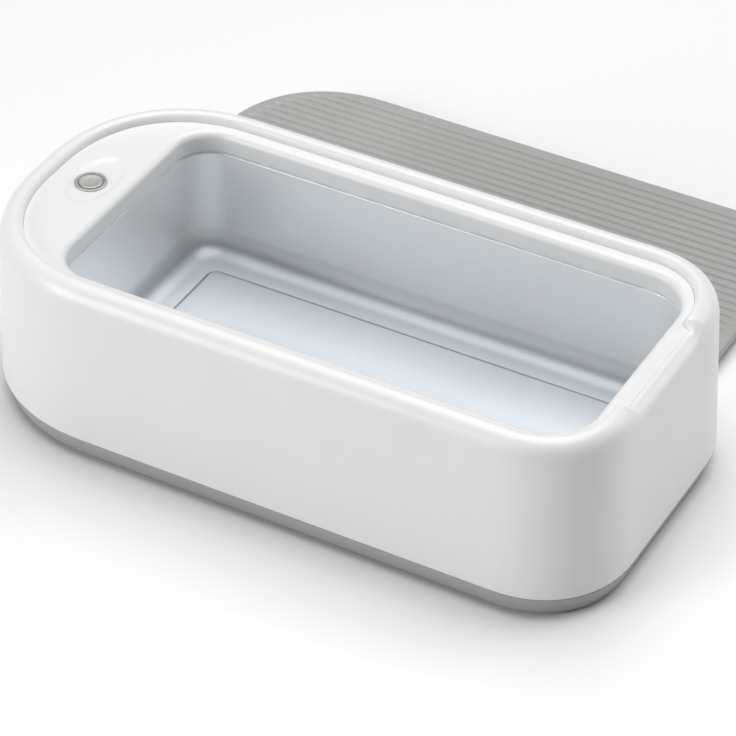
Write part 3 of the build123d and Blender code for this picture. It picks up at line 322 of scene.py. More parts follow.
# painted shade on the steel's floor, stamped line and bend, at shares of the next height up from
# its underside
PAINTED_SHADE_HEIGHT = 8.0 * MM
FLOOR_PAINTED_SHADE = (0.7, 0.735, 0.765)
LINE_PAINTED_SHADE = (0.3, 0.32, 0.34)
BEND_PAINTED_SHADE = (0.52, 0.55, 0.575)
PAINTED_SHADE_STOPS = (
    (0.02, FLOOR_PAINTED_SHADE),
    (0.028, LINE_PAINTED_SHADE),
    (0.054, LINE_PAINTED_SHADE),
    (0.073, FLOOR_PAINTED_SHADE),
    (0.35, BEND_PAINTED_SHADE),
)
# the turned rings are about this wide
RING_PITCH = 0.16 * MM
# at this scale the wave texture's turns are 2.2 mm wide
WIRE_SCALE = 1 / (7.0 * MM)


def new_material(name, colour, roughness, metallic=0.0):
    """A material with its shader's fixed values set; returns it with its node tree and shader."""
    material = bpy.data.materials.new(name)
    material.use_nodes = True
    shader = material.node_tree.nodes["Principled BSDF"]
    shader.inputs["Base Color"].default_value = (*colour, 1.0)
    shader.inputs["Roughness"].default_value = roughness
    shader.inputs["Metallic"].default_value = metallic
    return material, material.node_tree, shader


def add_node(tree, kind, **settings):
    """A new node with its properties set."""
    node = tree.nodes.new(kind)
    for key, value in settings.items():
        setattr(node, key, value)
    return node


def object_vector(tree, scale=PLAIN_SCALE, offset=NO_OFFSET):
    """Object coordinates in metres, with each axis scaled and then shifted."""
    place = add_node(tree, "ShaderNodeTexCoord")
    mapping = add_node(tree, "ShaderNodeMapping")
    mapping.inputs["Location"].default_value = offset
    mapping.inputs["Scale"].default_value = scale
    tree.links.new(place.outputs["Object"], mapping.inputs["Vector"])
    return mapping.outputs["Vector"]


def noise(tree, vector, scale, detail=3.0, roughness=0.55):
    """A noise value from 0 to 1, with scale features to the metre."""
    node = add_node(tree, "ShaderNodeTexNoise")
    node.inputs["Scale"].default_value = scale
    node.inputs["Detail"].default_value = detail
    node.inputs["Roughness"].default_value = roughness
    tree.links.new(vector, node.inputs["Vector"])
    return node.outputs["Fac"]


def spread(tree, value, low, high, start=NOISE_LOW, stop=NOISE_HIGH):
    """A value from start to stop mapped onto low to high."""
    node = add_node(tree, "ShaderNodeMapRange")
    sockets = ("From Min", "From Max", "To Min", "To Max")
    for name, number in zip(sockets, (start, stop, low, high)):
        node.inputs[name].default_value = number
    tree.links.new(value, node.inputs["Value"])
    return node.outputs["Result"]


def blend_colours(tree, value, first, second, start=NOISE_LOW, stop=NOISE_HIGH):
    """A colour between two, following a value from start to stop."""
    node = add_node(tree, "ShaderNodeValToRGB")
    low, high = node.color_ramp.elements
    low.position, high.position = start, stop
    low.color, high.color = (*first, 1.0), (*second, 1.0)
    tree.links.new(value, node.inputs["Fac"])
    return node.outputs["Color"]


def colour_by(tree, shader, value, first, second, start=NOISE_LOW, stop=NOISE_HIGH):
    """Colours the surface between two colours, following a value."""
    colour = blend_colours(tree, value, first, second, start, stop)
    tree.links.new(colour, shader.inputs["Base Color"])


def polish_by(tree, shader, value, low, high):
    """Varies the roughness between low and high, following a value."""
    tree.links.new(spread(tree, value, low, high), shader.inputs["Roughness"])


def add_bump(tree, shader, height, distance):
    """Bumps the surface by a height from 0 to 1 over a distance, on top of any bump so far."""
    node = add_node(tree, "ShaderNodeBump")
    node.inputs["Distance"].default_value = distance
    tree.links.new(height, node.inputs["Height"])
    normal = shader.inputs["Normal"]
    if normal.is_linked:
        tree.links.new(normal.links[0].from_socket, node.inputs["Normal"])
    tree.links.new(node.outputs["Normal"], normal)


def shade(colour, factor):
    """A colour made darker or lighter by a factor."""
    return tuple(min(channel * factor, 1.0) for channel in colour)


def moulded(name, colour, roughness, grain=0.008, grain_scale=2600.0, variation=0.02, gloss=0.0):
    """Moulded plastic: faint flow mottling, a fine grain, and uneven polish."""
    material, tree, shader = new_material(name, colour, roughness)
    vector = object_vector(tree)
    flow = noise(tree, vector, scale=28.0, detail=2.0)
    colour_by(tree, shader, flow, shade(colour, 1 - variation), shade(colour, 1 + variation))
    polish = noise(tree, vector, scale=170.0, detail=4.0)
    polish_by(tree, shader, polish, roughness * 0.9, roughness * 1.12)
    add_bump(tree, shader, noise(tree, vector, grain_scale, detail=2.0), grain * MM)
    shader.inputs["Coat Weight"].default_value = gloss
    shader.inputs["Coat Roughness"].default_value = COAT_ROUGHNESS
    return material


def drawn_steel(name):
    """Stainless steel with drawn lines: satin walls, a rougher floor, and painted shade on the
    floor, bend and stamped line.
    """
    colour = (0.95, 0.958, 0.965)
    material, tree, shader = new_material(name, colour, roughness=0.4, metallic=0.7)
    cloud = noise(tree, object_vector(tree), scale=22.0, detail=2.0)
    walls = blend_colours(tree, cloud, shade(colour, 0.975), shade(colour, 1.02))
    # painted shade by height, from the tank's underside up through the stamped line, floor and
    # bend
    split = add_node(tree, "ShaderNodeSeparateXYZ")
    tree.links.new(object_vector(tree), split.inputs["Vector"])
    height = spread(tree, split.outputs["Z"], 0.0, 1.0, TANK_LOW.z, TANK_LOW.z + PAINTED_SHADE_HEIGHT)
    # painted shade: darker colour on the floor, in the stamped line and round the bend
    haze_and_painted_shade = add_node(tree, "ShaderNodeValToRGB")
    ramp = haze_and_painted_shade.color_ramp.elements
    ramp[0].position, ramp[0].color = 0.0, (*FLOOR_PAINTED_SHADE, 1.0)
    ramp[1].position, ramp[1].color = 1.0, (1.0, 1.0, 1.0, 1.0)
    for position, tint in PAINTED_SHADE_STOPS:
        ramp.new(position).color = (*tint, 1.0)
    tree.links.new(height, haze_and_painted_shade.inputs["Fac"])
    both = add_node(tree, "ShaderNodeMix", data_type="RGBA", blend_type="MULTIPLY")
    both.inputs["Factor"].default_value = 1.0
    tree.links.new(walls, both.inputs[MIX_FIRST])
    tree.links.new(haze_and_painted_shade.outputs["Color"], both.inputs[MIX_SECOND])
    tree.links.new(both.outputs[MIX_RESULT], shader.inputs["Base Color"])
    # the drawn lines run upright, and the steel gets duller towards the floor
    stretched = object_vector(tree, (700.0, 700.0, 10.0))
    lines = noise(tree, stretched, scale=2.0, detail=2.0, roughness=0.5)
    matt = add_node(tree, "ShaderNodeMath", operation="ADD")
    tree.links.new(spread(tree, lines, 0.37, 0.43), matt.inputs[0])
    tree.links.new(spread(tree, height, 0.16, 0.0, start=0.0, stop=1.0), matt.inputs[1])
    tree.links.new(matt.outputs["Value"], shader.inputs["Roughness"])
    waves = noise(tree, object_vector(tree), scale=40.0, detail=1.0)
    add_bump(tree, shader, waves, 0.02 * MM)
    return material


def plated(name, colour, roughness=0.28, scale=900.0):
    """Plated metal: fine pits and slightly cloudy colour."""
    material, tree, shader = new_material(name, colour, roughness, metallic=1.0)
    vector = object_vector(tree)
    cloud = noise(tree, vector, scale / 4)
    colour_by(tree, shader, cloud, shade(colour, 0.85), shade(colour, 1.08))
    polish_by(tree, shader, cloud, roughness * 0.8, roughness * 1.3)
    add_bump(tree, shader, noise(tree, vector, scale * 3, detail=2.0), 0.004 * MM)
    return material


def turned(name, colour, centre):
    """Turned metal: fine rings round an upright axis through centre, uneven from ring to ring."""
    material, tree, shader = new_material(name, colour, roughness=0.5, metallic=0.75)
    vector = object_vector(tree, offset=(-centre.x, -centre.y, 0.0))
    flatten = add_node(tree, "ShaderNodeVectorMath", operation="MULTIPLY")
    flatten.inputs[1].default_value = (1.0, 1.0, 0.0)
    tree.links.new(vector, flatten.inputs[0])
    length = add_node(tree, "ShaderNodeVectorMath", operation="LENGTH")
    tree.links.new(flatten.outputs["Vector"], length.inputs[0])
    rings = add_node(tree, "ShaderNodeTexNoise", noise_dimensions="1D")
    rings.inputs["Scale"].default_value = 1 / RING_PITCH
    rings.inputs["Detail"].default_value = 3.0
    tree.links.new(length.outputs["Value"], rings.inputs["W"])
    cloud = noise(tree, object_vector(tree), scale=900.0)
    colour_by(tree, shader, cloud, shade(colour, 0.9), shade(colour, 1.1))
    polish_by(tree, shader, rings.outputs["Fac"], 0.44, 0.58)
    add_bump(tree, shader, rings.outputs["Fac"], 0.006 * MM)
    return material


def rubbery(name, colour, roughness):
    """Rubber or silicone: matte, softly mottled, with a dusting of fine pits."""
    material, tree, shader = new_material(name, colour, roughness)
    vector = object_vector(tree)
    flow = noise(tree, vector, scale=160.0, detail=4.0)
    colour_by(tree, shader, flow, shade(colour, 0.86), shade(colour, 1.12))
    polish_by(tree, shader, flow, roughness * 0.9, roughness * 1.15)
    add_bump(tree, shader, noise(tree, vector, scale=3200.0, detail=2.0), 0.02 * MM)
    return material


def sintered(name, colour, roughness, speck):
    """Ferrite or ceramic: a fine speckled grain."""
    material, tree, shader = new_material(name, colour, roughness)
    grains = add_node(tree, "ShaderNodeTexVoronoi")
    grains.inputs["Scale"].default_value = 3000.0
    tree.links.new(object_vector(tree), grains.inputs["Vector"])
    colour_by(tree, shader, grains.outputs["Distance"], colour, speck, start=0.1, stop=0.8)
    add_bump(tree, shader, grains.outputs["Distance"], 0.01 * MM)
    cloud = noise(tree, object_vector(tree), scale=500.0)
    polish_by(tree, shader, cloud, roughness * 0.85, roughness * 1.15)
    return material


def wound(name, colour):
    """Enamelled copper wire lying in close turns, with painted shade between the turns."""
    material, tree, shader = new_material(name, colour, roughness=0.3, metallic=0.85)
    turns = add_node(tree, "ShaderNodeTexWave", bands_direction="Z")
    turns.inputs["Scale"].default_value = WIRE_SCALE
    turns.inputs["Distortion"].default_value = 0.6
    turns.inputs["Detail Scale"].default_value = 2.0
    tree.links.new(object_vector(tree), turns.inputs["Vector"])
    # painted shade: the wire's colour darkens towards the crevices between turns
    groove = shade(colour, 0.45)
    colour_by(tree, shader, turns.outputs["Fac"], groove, colour, start=0.05, stop=0.6)
    add_bump(tree, shader, turns.outputs["Fac"], 0.12 * MM)
    shader.inputs["Coat Weight"].default_value = 0.6
    return material


def circuit_board(name):
    """Green solder mask over copper tracks, with the glass weave showing faintly."""
    mask = (0.03, 0.17, 0.07)
    material, tree, shader = new_material(name, mask, roughness=0.35)
    tracks = add_node(tree, "ShaderNodeTexBrick", offset=0.37, squash=1.4)
    tracks.inputs["Scale"].default_value = 330.0
    tracks.inputs["Mortar Size"].default_value = 0.09
    tracks.inputs["Color1"].default_value = (*mask, 1.0)
    tracks.inputs["Color2"].default_value = (*shade(mask, 0.8), 1.0)
    tracks.inputs["Mortar"].default_value = (0.08, 0.32, 0.13, 1.0)
    # the driver board stands across the body, so the pattern is turned to lie on its faces
    turn = add_node(tree, "ShaderNodeMapping")
    turn.inputs["Rotation"].default_value = (0.0, radians(90.0), 0.0)
    tree.links.new(object_vector(tree), turn.inputs["Vector"])
    tree.links.new(turn.outputs["Vector"], tracks.inputs["Vector"])
    tree.links.new(tracks.outputs["Color"], shader.inputs["Base Color"])
    weave = noise(tree, object_vector(tree, (1.0, 0.3, 1.0)), scale=2600.0, detail=1.0)
    polish_by(tree, shader, weave, 0.28, 0.42)
    add_bump(tree, shader, tracks.outputs["Fac"], 0.03 * MM)
    add_bump(tree, shader, weave, 0.01 * MM)
    shader.inputs["Coat Weight"].default_value = 0.4
    return material


def frosted(name):
    """Frosted polycarbonate that passes light."""
    colour = (0.86, 0.9, 0.93)
    material, tree, shader = new_material(name, colour, roughness=0.45)
    shader.inputs["Transmission Weight"].default_value = 0.55
    shader.inputs["IOR"].default_value = 1.58
    haze_and_painted_shade = noise(tree, object_vector(tree), scale=1800.0)
    colour_by(tree, shader, haze_and_painted_shade, shade(colour, 0.94), colour)
    polish_by(tree, shader, haze_and_painted_shade, 0.38, 0.55)
    add_bump(tree, shader, haze_and_painted_shade, 0.006 * MM)
    return material


CAP_CENTRE = (CAP_LOW + CAP_HIGH) / 2
WHITE = (0.84, 0.84, 0.84)
BASE_GREY = (0.385, 0.385, 0.383)
LID_GREY = (0.395, 0.395, 0.385)
BLACK = (0.022, 0.022, 0.024)
SLEEVE_BLUE = (0.02, 0.03, 0.09)
RESIN = (0.11, 0.10, 0.07)
NYLON = (0.74, 0.72, 0.64)
WIRE_RED = (0.30, 0.02, 0.015)
CERAMIC, CERAMIC_SPECK = (0.62, 0.60, 0.53), (0.74, 0.73, 0.68)
FERRITE, FERRITE_SPECK = (0.018, 0.018, 0.02), (0.05, 0.05, 0.055)
# one material for each of the record's material slots
MATERIALS = {
    "white_shell": moulded(
        "white_shell", WHITE, 0.34, grain=0.006, variation=0.008, gloss=0.12
    ),
    "grey_base": moulded("grey_base", BASE_GREY, 0.5, grain=0.02, grain_scale=1900.0),
    "grey_lid": moulded("grey_lid", LID_GREY, 0.45, grain=0.01),
    "stainless": drawn_steel("stainless"),
    "silicone": rubbery("silicone", (0.78, 0.78, 0.77), 0.5),
    "rubber_foot": rubbery("rubber_foot", (0.035, 0.035, 0.035), 0.7),
    "zinc_steel": plated("zinc_steel", (0.62, 0.62, 0.58)),
    "epoxy": moulded("epoxy", RESIN, 0.2, grain=0.03, grain_scale=700.0, variation=0.12),
    "ceramic": sintered("ceramic", CERAMIC, 0.35, CERAMIC_SPECK),
    "ferrite": sintered("ferrite", FERRITE, 0.5, FERRITE_SPECK),
    "circuit_board": circuit_board("circuit_board"),
    "copper_wire": wound("copper_wire", (0.60, 0.24, 0.09)),
    "black_plastic": moulded("black_plastic", BLACK, 0.48, grain=0.02, grain_scale=2200.0),
    "capacitor_sleeve": moulded(
        "capacitor_sleeve", SLEEVE_BLUE, 0.28, grain=0.01, variation=0.1
    ),
    "aluminium": plated("aluminium", (0.70, 0.71, 0.72), 0.36, 600.0),
    "connector_nylon": moulded("connector_nylon", NYLON, 0.45, grain=0.01),
    "button_metal": turned("button_metal", (0.54, 0.54, 0.525), CAP_CENTRE),
    "frosted_clear": frosted("frosted_clear"),
    "wire_insulation": moulded("wire_insulation", WIRE_RED, 0.4, grain=0.01),
    "nickel": plated("nickel", (0.66, 0.63, 0.57), 0.2),
}


def dress_cad_nodes():
    """Gives every CAD node the material of its slot."""
    for part in frame["record"]["subparts"]:
        slots = frame["nodes"][part["node"]].data.materials
        slots.clear()
        slots.append(MATERIALS[part["material_slot"]])


dress_cad_nodes()

# ---------------------------------------------------------------- outer shell
WALL = 2.4 * MM
DRAFT = 2.14 * MM
BEAD_WIDTH = 5.0 * MM
BEAD_HEIGHT = 7.0 * MM
RECESS_INSET = 8.7 * MM
RECESS_EDGE = 2.0 * MM
LEDGE_INSET = 9.9 * MM
LEDGE_THICKNESS = 2.0 * MM
RECESS_LAND = 0.4 * MM
SEAM_RADIUS = 0.35 * MM
BEAD_STEPS = 18
RECESS_STEPS = 8
# the finger notch: half its width, how far its inside moves out and from which inset, how long
# its ends ease at the recess and how much longer at the wall, and its rim's fall to the deck
NOTCH_HALF = 19.5 * MM
NOTCH_REACH = 2.7 * MM
NOTCH_START = 4.2 * MM
NOTCH_EASE = 0.9 * MM
NOTCH_FADE = 10.0 * MM
NOTCH_SINK = 0.02 * MM
# The seam over the grey band. The housing's box reaches lower, since it holds screw bosses.
BAND_TOP = BASE_LOW.z + 6.5 * MM
HOUSING_HEIGHT = HOUSING_HIGH.z - BAND_TOP
BEAD_FOOT = HOUSING_HIGH.z - BEAD_HEIGHT
BEAD_CREST = DRAFT * (BEAD_FOOT - BAND_TOP) / HOUSING_HEIGHT + BEAD_WIDTH
DECK_BOTTOM = HOUSING_HIGH.z - 4.7 * MM
LEDGE_BOTTOM = DECK_BOTTOM - LEDGE_THICKNESS


def wall_inset(height):
    """How far the drafted wall has leaned in at a height."""
    return DRAFT * (height - BAND_TOP) / HOUSING_HEIGHT


def in_notch(point, ease=NOTCH_EASE):
    """1 in the finger notch at the right end, easing to 0 beside it."""
    if point.x < 0:
        return 0.0
    return 1 - smooth((abs(point.y) - NOTCH_HALF + ease) / (2 * ease))


def notch_shift(point, inset, height):
    """Drops the rim to the deck's level in the finger notch, and moves its inside outward."""
    out = max((RECESS_INSET - inset) / RECESS_INSET, 0.0)
    cut = in_notch(point, NOTCH_EASE + NOTCH_FADE * out**2)
    if inset <= BEAD_CREST and height > BEAD_FOOT:
        height -= cut * (height - BEAD_FOOT) * (HOUSING_HIGH.z - DECK_HIGH.z) / BEAD_HEIGHT
    elif height > DECK_HIGH.z:
        sink = NOTCH_SINK * (inset - BEAD_CREST) / (RECESS_INSET - BEAD_CREST)
        sink += max(HOUSING_HIGH.z - RECESS_EDGE - height, 0.0)
        height += cut * (DECK_HIGH.z - sink - height)
    share = min(max((inset - NOTCH_START) / (RECESS_INSET - NOTCH_START), 0.0), 1.0)
    return inset - share * NOTCH_REACH * in_notch(point), height


# the wall has rows of points round the power jack's hole, for a patch that the hole is cut in
JACK_HOLE = 4.0 * MM
JACK_PATCH = 6.4 * MM
JACK_HEIGHT = (JACK_LOW.z + JACK_HIGH.z) / 2
JACK_ROWS = [JACK_HEIGHT + step * JACK_PATCH / 4 for step in range(-4, 5)]
JACK_STEPS = 48
JACK_EDGE = 0.5 * MM
JACK_EASE = 0.15 * MM
JACK_FACING = (-1.0, 0.0, 0.0)


def shell_sections():
    """The shell's section up the outside and down the inside, and where the jack's rows start."""
    low, top = BAND_TOP, HOUSING_HIGH.z
    seam_edge = (SEAM_RADIUS, low)
    wall_foot = (wall_inset(low), low + SEAM_RADIUS)
    wall_top = (wall_inset(BEAD_FOOT), BEAD_FOOT)
    crest = (BEAD_CREST, top)
    recess_top = (RECESS_INSET, top - RECESS_EDGE)
    outside = [seam_edge] + quarter(seam_edge, wall_foot, level=True)
    outer_patch = len(outside)
    outside += [(wall_inset(z), z) for z in JACK_ROWS]
    outside += [wall_top] + quarter(wall_top, crest, BEAD_STEPS)
    inside = quarter(crest, recess_top, RECESS_STEPS, level=True)
    inside += [(RECESS_INSET, top - RECESS_EDGE - RECESS_LAND), (RECESS_INSET, DECK_BOTTOM)]
    inside += [(LEDGE_INSET, DECK_BOTTOM), (LEDGE_INSET, LEDGE_BOTTOM)]
    inside += [(WALL + wall_inset(LEDGE_BOTTOM), LEDGE_BOTTOM)]
    inner_patch = len(outside) + len(inside)
    inside += [(WALL + wall_inset(z), z) for z in reversed(JACK_ROWS)]
    inside += [(WALL, low)]
    return outside + inside, outer_patch, inner_patch


def jack_tube():
    """Rings through the wall for the power jack's hole, with an eased edge outside."""
    section = (
        (JACK_HOLE + JACK_EDGE, 0.0),
        (JACK_HOLE + JACK_EASE, JACK_EASE),
        (JACK_HOLE, JACK_EDGE),
        (JACK_HOLE, WALL),
    )
    rings = []
    for radius, depth in section:
        loop = circle(0.0, JACK_HEIGHT, radius, 0.0, JACK_STEPS)
        rings.append([Vector((HOUSING_LOW.x + wall_inset(z) + depth, y, z)) for y, z, _ in loop])
    return rings


def make_shell():
    """The white shell, with the finger notch and the power jack's hole."""
    shell = Builder()
    section, outer_patch, inner_patch = shell_sections()
    rings = [shell.vertices(ring(BODY_PLAN, *row, notch_shift)) for row in section]
    points = [edge.point for edge in outline(BODY_PLAN)]
    columns = [i for i, point in enumerate(points) if point.x < 0 and abs(point.y) < JACK_PATCH]
    rows = len(JACK_ROWS)
    for i, low in enumerate(rings):
        patched = any(start <= i < start + rows - 1 for start in (outer_patch, inner_patch))
        shell.bridge(low, rings[(i + 1) % len(rings)], columns[:-1] if patched else ())
    tube = shell.loft(jack_tube())
    for start, hole in ((outer_patch, tube[0]), (inner_patch, tube[-1])):
        patch = [[row[i] for i in columns] for row in rings[start : start + rows]]
        shell.fill(border_of(patch), hole, facing=JACK_FACING)
    shell.finish("shell", "housing", "white_shell", "outer_housing")


# ---------------------------------------------------------------- base
BAND_INSET = 2.4 * MM
BAND_FOOT = 0.5 * MM
BAND_LEAN = 0.15 * MM
BAND_TOP_INSET = SEAM_RADIUS / 4
BASE_FLOOR = 2.0 * MM
BASE_HOLLOW = 3.6 * MM
LIP_INSET = 2.65 * MM
LIP_INNER = 4.8 * MM
LIP_HEIGHT = 3.0 * MM
LIP_ROOT = 1.5 * MM
FOOT_INSET = 12.0 * MM
FOOT_WIDTH = 4.0 * MM
FOOT_GAP = 0.1 * MM
FOOT_EDGE = 0.35 * MM
HEAD_RADIUS = 2.4 * MM
SINK_RADIUS = 2.7 * MM
SINK_DEPTH = 3.2 * MM
SCREW_HOLE = 1.5 * MM
COLUMN_RADIUS = 3.1 * MM
COLUMN_TOP = 5.5 * MM
COLUMN_STEPS = 40
RIGHT_SCREW_Y = 36.94 * MM
VENT_LENGTH = 16.0 * MM
VENT_WIDTH = 2.0 * MM
VENT_PITCH = 4.5 * MM
VENT_ROW = 13.0 * MM
VENT_X = -72.5 * MM
VENT_COLUMNS = (-1, 0, 1)
SIDES = (1, -1)
POST_X = -73.8 * MM
POST_Y = 30.4 * MM
POST_LENGTH = 5.0 * MM
POST_WIDTH = 4.0 * MM
POST_SLOT = 1.8 * MM
POST_SLOT_STOP = 0.3 * MM


def screw_places():
    """The middles of the four base screws."""
    left_x, right_x = SCREWS_LOW.x + HEAD_RADIUS, SCREWS_HIGH.x - HEAD_RADIUS
    pairs = ((left_x, SCREWS_HIGH.y - HEAD_RADIUS), (right_x, RIGHT_SCREW_Y))
    return [(x, side * y) for x, y in pairs for side in SIDES]


def vent_loop(column, side, height):
    """One of the slots under the driver board, with round ends."""
    middle = Vector((VENT_X + column * VENT_PITCH, side * VENT_ROW))
    half = Vector((VENT_WIDTH / 2, VENT_LENGTH / 2))
    return rounded_box(middle - half, middle + half, (VENT_WIDTH / 2,) * 4, height)


def post_loop(side, height):
    """One of the slotted posts that hold the driver board."""
    near, far = POST_Y - POST_WIDTH / 2, POST_Y + POST_WIDTH / 2
    half, slot, slot_end = POST_LENGTH / 2, POST_SLOT / 2, POST_Y - POST_SLOT_STOP
    corners = [(-half, near), (-half, far), (half, far), (half, near)]
    corners += [(slot, near), (slot, slot_end), (-slot, slot_end), (-slot, near)]
    return [Vector((POST_X + x, side * y, height)) for x, y in corners]


def base_section():
    """The base's section from the underside up the grey band and its lip to the floor inside."""
    low, top = BASE_LOW.z, BAND_TOP
    rows = [(BAND_INSET + BAND_FOOT, low)]
    rows += quarter(rows[-1], (BAND_INSET - BAND_LEAN, low + BAND_FOOT), level=True)
    rows += [(BAND_TOP_INSET, top - SEAM_RADIUS)]
    rows += quarter(rows[-1], (SEAM_RADIUS, top), SMALL_EDGE_STEPS)
    rows += [(LIP_INSET, top), (LIP_INSET, top + LIP_HEIGHT), (LIP_INNER, top + LIP_HEIGHT)]
    rows += [(LIP_INNER, top - LIP_ROOT), (BASE_HOLLOW, top - LIP_ROOT)]
    return rows + [(BASE_HOLLOW, low + BASE_FLOOR)]


def column_rings(x, y):
    """Rings for a screw's sink and hole, and the column round it."""
    low, shoulder = BASE_LOW.z, BASE_LOW.z + SINK_DEPTH
    section = [(SINK_RADIUS, low), (SINK_RADIUS, shoulder), (SCREW_HOLE, shoulder)]
    section += [(SCREW_HOLE, COLUMN_TOP), (COLUMN_RADIUS, COLUMN_TOP)]
    section += [(COLUMN_RADIUS, low + BASE_FLOOR)]
    return [circle(x, y, radius, height, COLUMN_STEPS) for radius, height in section]


def make_base():
    """The grey base with its foot ring's groove, screw columns, vents and board posts."""
    base = Builder()
    low, floor_top, foot_top = BASE_LOW.z, BASE_LOW.z + BASE_FLOOR, FOOT_HIGH.z
    groove_outer = FOOT_INSET - FOOT_GAP
    groove_inner = FOOT_INSET + FOOT_WIDTH + FOOT_GAP
    under = base.loft([ring(BODY_PLAN, groove_outer, height) for height in (foot_top, low)])
    outer = base.loft([ring(BODY_PLAN, inset, height) for inset, height in base_section()])
    island = base.loft([ring(BODY_PLAN, groove_inner, height) for height in (foot_top, low)])
    columns = [base.loft(column_rings(x, y)) for x, y in screw_places()]
    vents = [
        base.loft([vent_loop(column, side, height) for height in (low, floor_top)])
        for column in VENT_COLUMNS
        for side in SIDES
    ]
    posts = [
        base.loft([post_loop(side, height) for height in (floor_top, BASE_HIGH.z)])
        for side in SIDES
    ]
    for post in posts:
        base.cap(post[-1])
    base.fill(outer[0], under[-1], *(column[0] for column in columns))
    base.fill(under[0], island[0])
    base.fill(island[-1], *(vent[0] for vent in vents))
    inner_loops = [loops[-1] for loops in columns + vents] + [post[0] for post in posts]
    base.fill(outer[-1], *inner_loops)
    base.finish("base", "housing", "grey_base", "base_cover")


def make_foot_ring():
    """The rubber ring that the cleaner stands on."""
    foot = Builder()
    outer, inner = FOOT_INSET, FOOT_INSET + FOOT_WIDTH
    low, high = FOOT_LOW.z, FOOT_HIGH.z
    rows = [(inner, high), (outer, high), (outer, low + FOOT_EDGE)]
    rows += quarter(rows[-1], (outer + FOOT_EDGE, low))
    rows += [(inner - FOOT_EDGE, low)]
    rows += quarter(rows[-1], (inner, low + FOOT_EDGE), level=True)
    foot.loft([ring(BODY_PLAN, inset, height) for inset, height in rows], closed=True)
    foot.finish("foot_ring", "housing", "rubber_foot", "rubber_foot_ring")


# ---------------------------------------------------------------- deck
DECK_TOP = DECK_HIGH.z
DECK_GAP = 0.04 * MM
DECK_EDGE = 0.08 * MM
MOUTH_RADIUS = 2.2 * MM
MOUTH_STEPS = 10
SKIRT_BOTTOM = TANK_HIGH.z + 1.0 * MM
SKIRT_THICKNESS = 1.5 * MM
# the button lies in a shallow oval dish
DISH_HALF_WIDTH = 7.0 * MM
DISH_HALF_LENGTH = 12.0 * MM
DISH_DEPTH = 0.6 * MM
DISH_SLOPE = 1.8 * MM
DISH_OFFSET = Vector((0.8, 1.0)) * MM
DISH_STEPS = 10
ROUND_STEPS = 96
HOLE_STEPS = 64
BEZEL_RADIUS = (BEZEL_HIGH.x - BEZEL_LOW.x) / 2
BEZEL_COLLAR = 0.5 * MM
BEZEL_GAP = 0.05 * MM


def deck_shift(point, inset, height):
    """The deck reaches out into the finger notch."""
    return inset - NOTCH_REACH * in_notch(point), height


def revolve(section, steps=ROUND_STEPS):
    """Rings round the button's axis for a section given as radius and height."""
    return [circle(CAP_CENTRE.x, CAP_CENTRE.y, radius, z, steps) for radius, z in section]


def dish_rings():
    """Rings down the dish's slope, from the deck's top inward."""
    centre = Vector((CAP_CENTRE.x, CAP_CENTRE.y)) + DISH_OFFSET
    rings = []
    for step in range(DISH_STEPS + 1):
        share = step / DISH_STEPS
        width = DISH_HALF_WIDTH - DISH_SLOPE * share
        length = DISH_HALF_LENGTH - DISH_SLOPE * share
        height = DECK_TOP - DISH_DEPTH * smooth(share)
        rings.append(circle(centre.x, centre.y, width, height, ROUND_STEPS, length))
    return rings


def make_deck():
    """The white deck, with the tank's mouth and the button's dish and hole."""
    deck = Builder()
    edge_inset = RECESS_INSET + DECK_GAP
    rim = [(edge_inset, DECK_BOTTOM), (edge_inset, DECK_TOP - DECK_EDGE)]
    rim += quarter(rim[-1], (edge_inset + DECK_EDGE, DECK_TOP), SMALL_EDGE_STEPS)
    outer = deck.loft([ring(BODY_PLAN, inset, height, deck_shift) for inset, height in rim])
    mouth = [(-MOUTH_RADIUS, DECK_TOP)]
    mouth += quarter(mouth[-1], (0.0, DECK_TOP - MOUTH_RADIUS), MOUTH_STEPS, level=True)
    mouth += [(0.0, SKIRT_BOTTOM), (-SKIRT_THICKNESS, SKIRT_BOTTOM)]
    mouth += [(-SKIRT_THICKNESS, DECK_BOTTOM)]
    inner = deck.loft([ring(TANK_PLAN, inset, height) for inset, height in mouth])
    dish = deck.loft(dish_rings())
    hole_radius = BEZEL_RADIUS - BEZEL_COLLAR + BEZEL_GAP
    hole_ends = ((hole_radius, DECK_TOP - DISH_DEPTH), (hole_radius, DECK_BOTTOM))
    hole = deck.loft(revolve(hole_ends, HOLE_STEPS))
    deck.fill(outer[-1], inner[0], dish[0])
    deck.fill(dish[-1], hole[0])
    deck.fill(outer[0], inner[-1], hole[-1])
    deck.finish("deck", "housing", "white_shell", "top_deck")


# ---------------------------------------------------------------- button
CAP_RADIUS = 3.4 * MM
CAP_DISH = 0.12 * MM
CAP_EDGE = 0.3 * MM
CAP_FLANGE = 0.95 * MM
CAP_STEPS = 12
# the dish is this much steeper than an even slope to the middle, and flat from there on
CAP_SLOPE = 1.6
STEM_RADIUS = 1.5 * MM
STEM_HEIGHT = 2.1 * MM
BEZEL_BORE = 3.9 * MM
BEZEL_EDGE = 0.2 * MM


def make_button():
    """The button's cap on its stem, with a slightly dished face."""
    cap = Builder()
    low, top = CAP_LOW.z, CAP_HIGH.z
    flange_radius = (CAP_HIGH.x - CAP_LOW.x) / 2
    flange_low = low + STEM_HEIGHT
    flange_top = flange_low + CAP_FLANGE
    section = [(STEM_RADIUS, low), (STEM_RADIUS, flange_low), (flange_radius, flange_low)]
    section += [(flange_radius, flange_top), (CAP_RADIUS, flange_top)]
    section += [(CAP_RADIUS, top - CAP_EDGE)]
    face = CAP_RADIUS - CAP_EDGE
    section += quarter(section[-1], (face, top))
    for step in range(1, CAP_STEPS + 1):
        drop = CAP_DISH * smooth(min(CAP_SLOPE * step / CAP_STEPS, 1.0))
        section.append((face * (1 - step / (CAP_STEPS + 1)), top - drop))
    rings = cap.loft(revolve(section))
    cap.cap(rings[0])
    cap.cap(rings[-1])
    cap.finish("button", "button", "button_metal", "button_cap")


